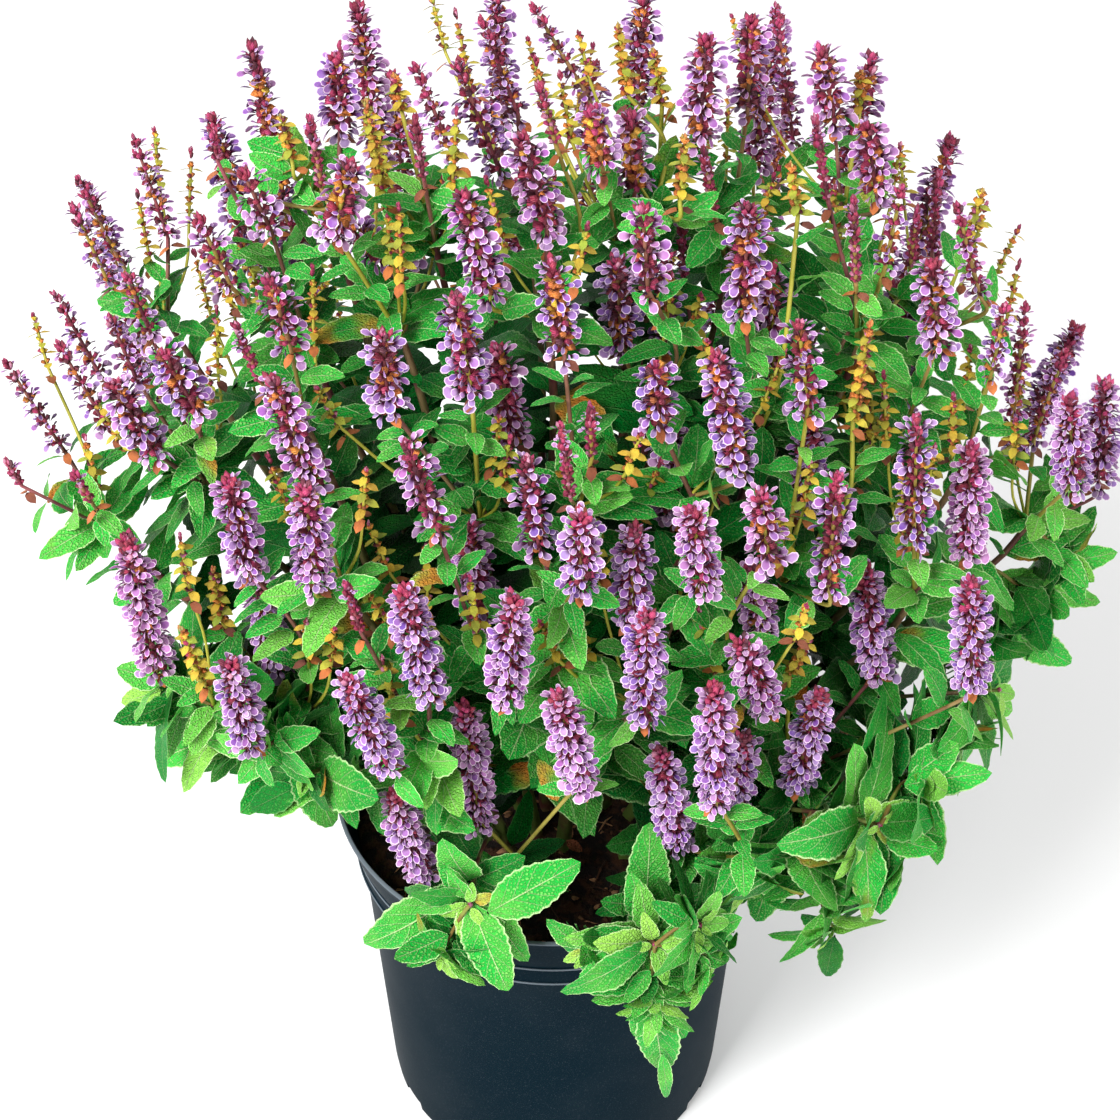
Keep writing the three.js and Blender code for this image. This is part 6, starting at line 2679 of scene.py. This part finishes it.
class Salvia:
    """The whole plant in its pot."""

    GROUPS = ((0, 1, 2), (3, 4, 5), (6, 7, 8), (9, 10, 11), (12, 13))
    SPRIGS, SPRIG_GIRTH, SPRIG_STEPS = 3, 0.7, 4
    # The first numbers of the streams of draws, one run for each kind of piece.
    SOLID_LEAVES, FILLING, TUFTS, SIDES, SIDE_TUFTS, FORKS, THIN, THIN_BLOOM, BLOOM = (
        900, 4000, 5000, 6000, 6500, 7000, 8000, 9000, 10000)

    def __init__(self) -> None:
        """Plans the plant and makes what its pieces share."""
        self.plan = Planner()
        self.setting, self.stems, self.scatter = setting_tree(), stem_tree(), litter_tree()
        self.spikes = [one for head in self.plan.all_heads() for one in head.spikes]
        self.thicket = Thicket(self.spikes)
        self.florets, self.calyces = shape_box("florets", FLORETS), shape_box("calyces", CALYCES)
        self.blades = shape_box("blades", Foliage.shapes())
        self.leaf = LeafFinish("salvia_leaf", 0.44, 0.0006, 0.07).material()
        self.petal = PetalFinish("salvia_petal", 0.5, 0.00015, 0.15, 0.06).material()
        self.calyx = CalyxFinish("salvia_calyx", 0.5, 0.0002).material()
        self.stem = StemFinish("salvia_stem", 0.48, 0.0002).material()
        self.pot = PotFinish("moulded_pot", 0.42, 0.00006, 0.01).material()
        self.peat = LitterFinish("peat", 0.9, 0.0012).material()
        self.bark = LitterFinish("bark", 0.8, 0.0005, share=1.0).material()

    def build(self) -> None:
        """Builds every piece."""
        Pot().build(self.pot)
        Soil().build(self.peat, self.bark, self.scatter)
        for number, group in enumerate(self.GROUPS, 1):
            self.build_group(number, group)

    def build_group(self, number: int, group: Sequence[int]) -> None:
        """Builds the pieces of a few stems.

        Args:
            number: The group's number.
            group: Its stems' numbers.
        """
        wood, blossom, foliage = Wood(), Blossom(), Foliage(self.plan, self.spikes)
        for s in group:
            self.add_leaves(s, foliage)
            self.add_shoots(s, wood, blossom, foliage)
            self.add_heads(s, wood, blossom, foliage)
        stem_nodes = [f"stem_{s + 1:02d}" for s in group]
        head_nodes = [f"head_{s + 1:02d}_{h + 1}" for s in group for h in range(len(self.plan.heads[s]))]
        jobs = (
            ("wood", wood.lines("lines"), self.stems, None, self.stem, "leafy_stem", ()),
            ("leaves", foliage.blades.points("leaf_points"), self.setting, self.blades, self.leaf, "leafy_stem",
             stem_nodes),
            ("florets", blossom.florets.points("floret_points"), self.setting, self.florets, self.petal,
             "flower_head", head_nodes),
            ("calyces", blossom.calyces.points("calyx_points"), self.setting, self.calyces, self.calyx,
             "flower_head", ()),
        )
        for name, start, tree, shapes, finish, slot, nodes in jobs:
            mesh = grow(f"{name}_{number}", start, tree, {"Finish": finish, **({"Shapes": shapes} if shapes else {})})
            if name == "wood":
                mesh.polygons.foreach_set("use_smooth", [len(p.vertices) == 4 for p in mesh.polygons])
            dress(mesh.name, mesh, slot, nodes)

    def add_leaves(self, s: int, foliage: Foliage) -> None:
        """Adds the leaves of a stem's solid and its lone leaves.

        Args:
            s: The stem's number.
            foliage: The foliage to add them to.
        """
        chance = Draws(self.SOLID_LEAVES + s)
        for leaf in grown_leaves(self.plan.stems[s], s, LeafFinder(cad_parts[f"stem_{s + 1:02d}"])):
            foliage.set_leaf(foliage.tuck(leaf), 0.1 + 0.5 * chance(), chance)
        for lone in LONE_LEAVES:
            if lone.stem == s:
                foliage.set_leaf(lone.leaf(self.plan), lone.age, chance)

    def add_shoots(self, s: int, wood: Wood, blossom: Blossom, foliage: Foliage) -> None:
        """Adds a stem's branches with their small leaves, and its side shoots.

        Args:
            s: The stem's number.
            wood: The wood to add to.
            blossom: The blossom to add to.
            foliage: The foliage to add to.
        """
        stem = self.plan.stems[s]
        wood.grow(stem)
        for b, branch in enumerate(stem.branches):
            foliage.fill(branch, self.FILLING + 16 * s + b)
            if not branch.head:
                blossom.dress_shoot(branch, self.TUFTS + 16 * s + b)
        for b, side in enumerate(side for side in SIDE_SHOOTS if side.stem == s):
            branch = side.branch(self.plan)
            wood.shoot(branch)
            foliage.fill(branch, self.SIDES + 16 * s + b, side.share, side.angles)
            blossom.dress_shoot(branch, self.SIDE_TUFTS + 16 * s + b)

    def add_heads(self, s: int, wood: Wood, blossom: Blossom, foliage: Foliage) -> None:
        """Adds a stem's flower heads, with the sprigs and the small leaves at their forks.

        Args:
            s: The stem's number.
            wood: The wood to add to.
            blossom: The blossom to add to.
            foliage: The foliage to add to.
        """
        for h, head in enumerate(self.plan.heads[s]):
            for k, one in enumerate(self.thicket.sprigs(head, self.SPRIGS, self.THIN + 16 * s + h)):
                path = smooth_line([head.fork, *one.bends, one.base], self.SPRIG_STEPS)
                wood.carry(path, one, self.SPRIG_GIRTH)
                blossom.dress_spike(one, self.THIN_BLOOM + 64 * s + 8 * h + k, SPRIG)
            foliage.fill_fork(head, self.FORKS + 16 * s + h)
            for k, one in enumerate(head.spikes):
                blossom.dress_spike(one, self.BLOOM + 256 * s + 16 * h + k)


@dataclass(frozen=True)
class Studio:
    """The camera, the pale floor and the soft light, in metres and watts."""

    focal: float = 75.0
    sensor: float = 36.0
    floor: float = 6.0
    floor_low: float = 0.0005
    paint: float = 0.95
    sky: float = 0.72
    key: float = 100.0
    key_size: float = 1.2
    key_place: tuple[float, float, float] = (-1.3, -1.5, 2.0)
    fill: float = 25.0
    fill_size: float = 1.6
    fill_place: tuple[float, float, float] = (1.9, -1.1, 1.2)
    target: tuple[float, float, float] = (0.0, 0.0, 0.36)

    def aim(self, made: Object, place: Sequence[float], at: Sequence[float]) -> None:
        """Puts an object somewhere, facing a point.

        Args:
            made: The object.
            place: Where it stands.
            at: What it faces.
        """
        made.location = place
        made.rotation_euler = (Vector(at) - Vector(place)).to_track_quat("-Z", "Y").to_euler()
        bpy.context.scene.collection.objects.link(made)

    def lamp(self, name: str, power: float, size: float, place: Sequence[float]) -> None:
        """Adds a square soft lamp that faces the plant.

        Args:
            name: The lamp's name.
            power: Its watts.
            size: Its side.
            place: Where it stands.
        """
        light = bpy.data.lights.new(name, "AREA")
        light.energy, light.size = power, size
        self.aim(bpy.data.objects.new(name, light), place, self.target)

    def build(self, plan: Planner) -> None:
        """Builds the studio round the plan's eye.

        Args:
            plan: The plant's plan.
        """
        scene = bpy.context.scene
        camera = bpy.data.cameras.new("camera")
        camera.lens, camera.sensor_width = self.focal, self.sensor
        scene.camera = bpy.data.objects.new("camera", camera)
        self.aim(scene.camera, plan.eye * MM, np.array(P.sight_aim) * MM)
        self.lay_floor()
        scene.world = bpy.data.worlds.new("studio")
        scene.world.use_nodes = True
        sky = scene.world.node_tree.nodes["Background"]
        sky.inputs["Color"].default_value, sky.inputs["Strength"].default_value = (1.0, 1.0, 1.0, 1.0), self.sky
        self.lamp("key", self.key, self.key_size, self.key_place)
        self.lamp("fill", self.fill, self.fill_size, self.fill_place)
        scene.view_settings.view_transform = "Standard"

    def lay_floor(self) -> None:
        """Lays the pale floor."""
        half, low = self.floor / 2 / MM, -self.floor_low / MM
        corners = [(-half, -half, low), (half, -half, low), (half, half, low), (-half, half, low)]
        mesh = plain_mesh("floor", corners, [(0, 1, 2, 3)], smooth=False)
        paint = bpy.data.materials.new("studio_floor")
        paint.use_nodes = True
        skin = paint.node_tree.nodes["Principled BSDF"]
        skin.inputs["Base Color"].default_value = (self.paint, self.paint, self.paint, 1.0)
        skin.inputs["Roughness"].default_value = 0.9
        mesh.materials.append(paint)
        new_object("floor", mesh)


def main() -> None:
    """Builds the studio and the salvia."""
    salvia = Salvia()
    Studio().build(salvia.plan)
    salvia.build()


if __name__ == "__main__":
    main()
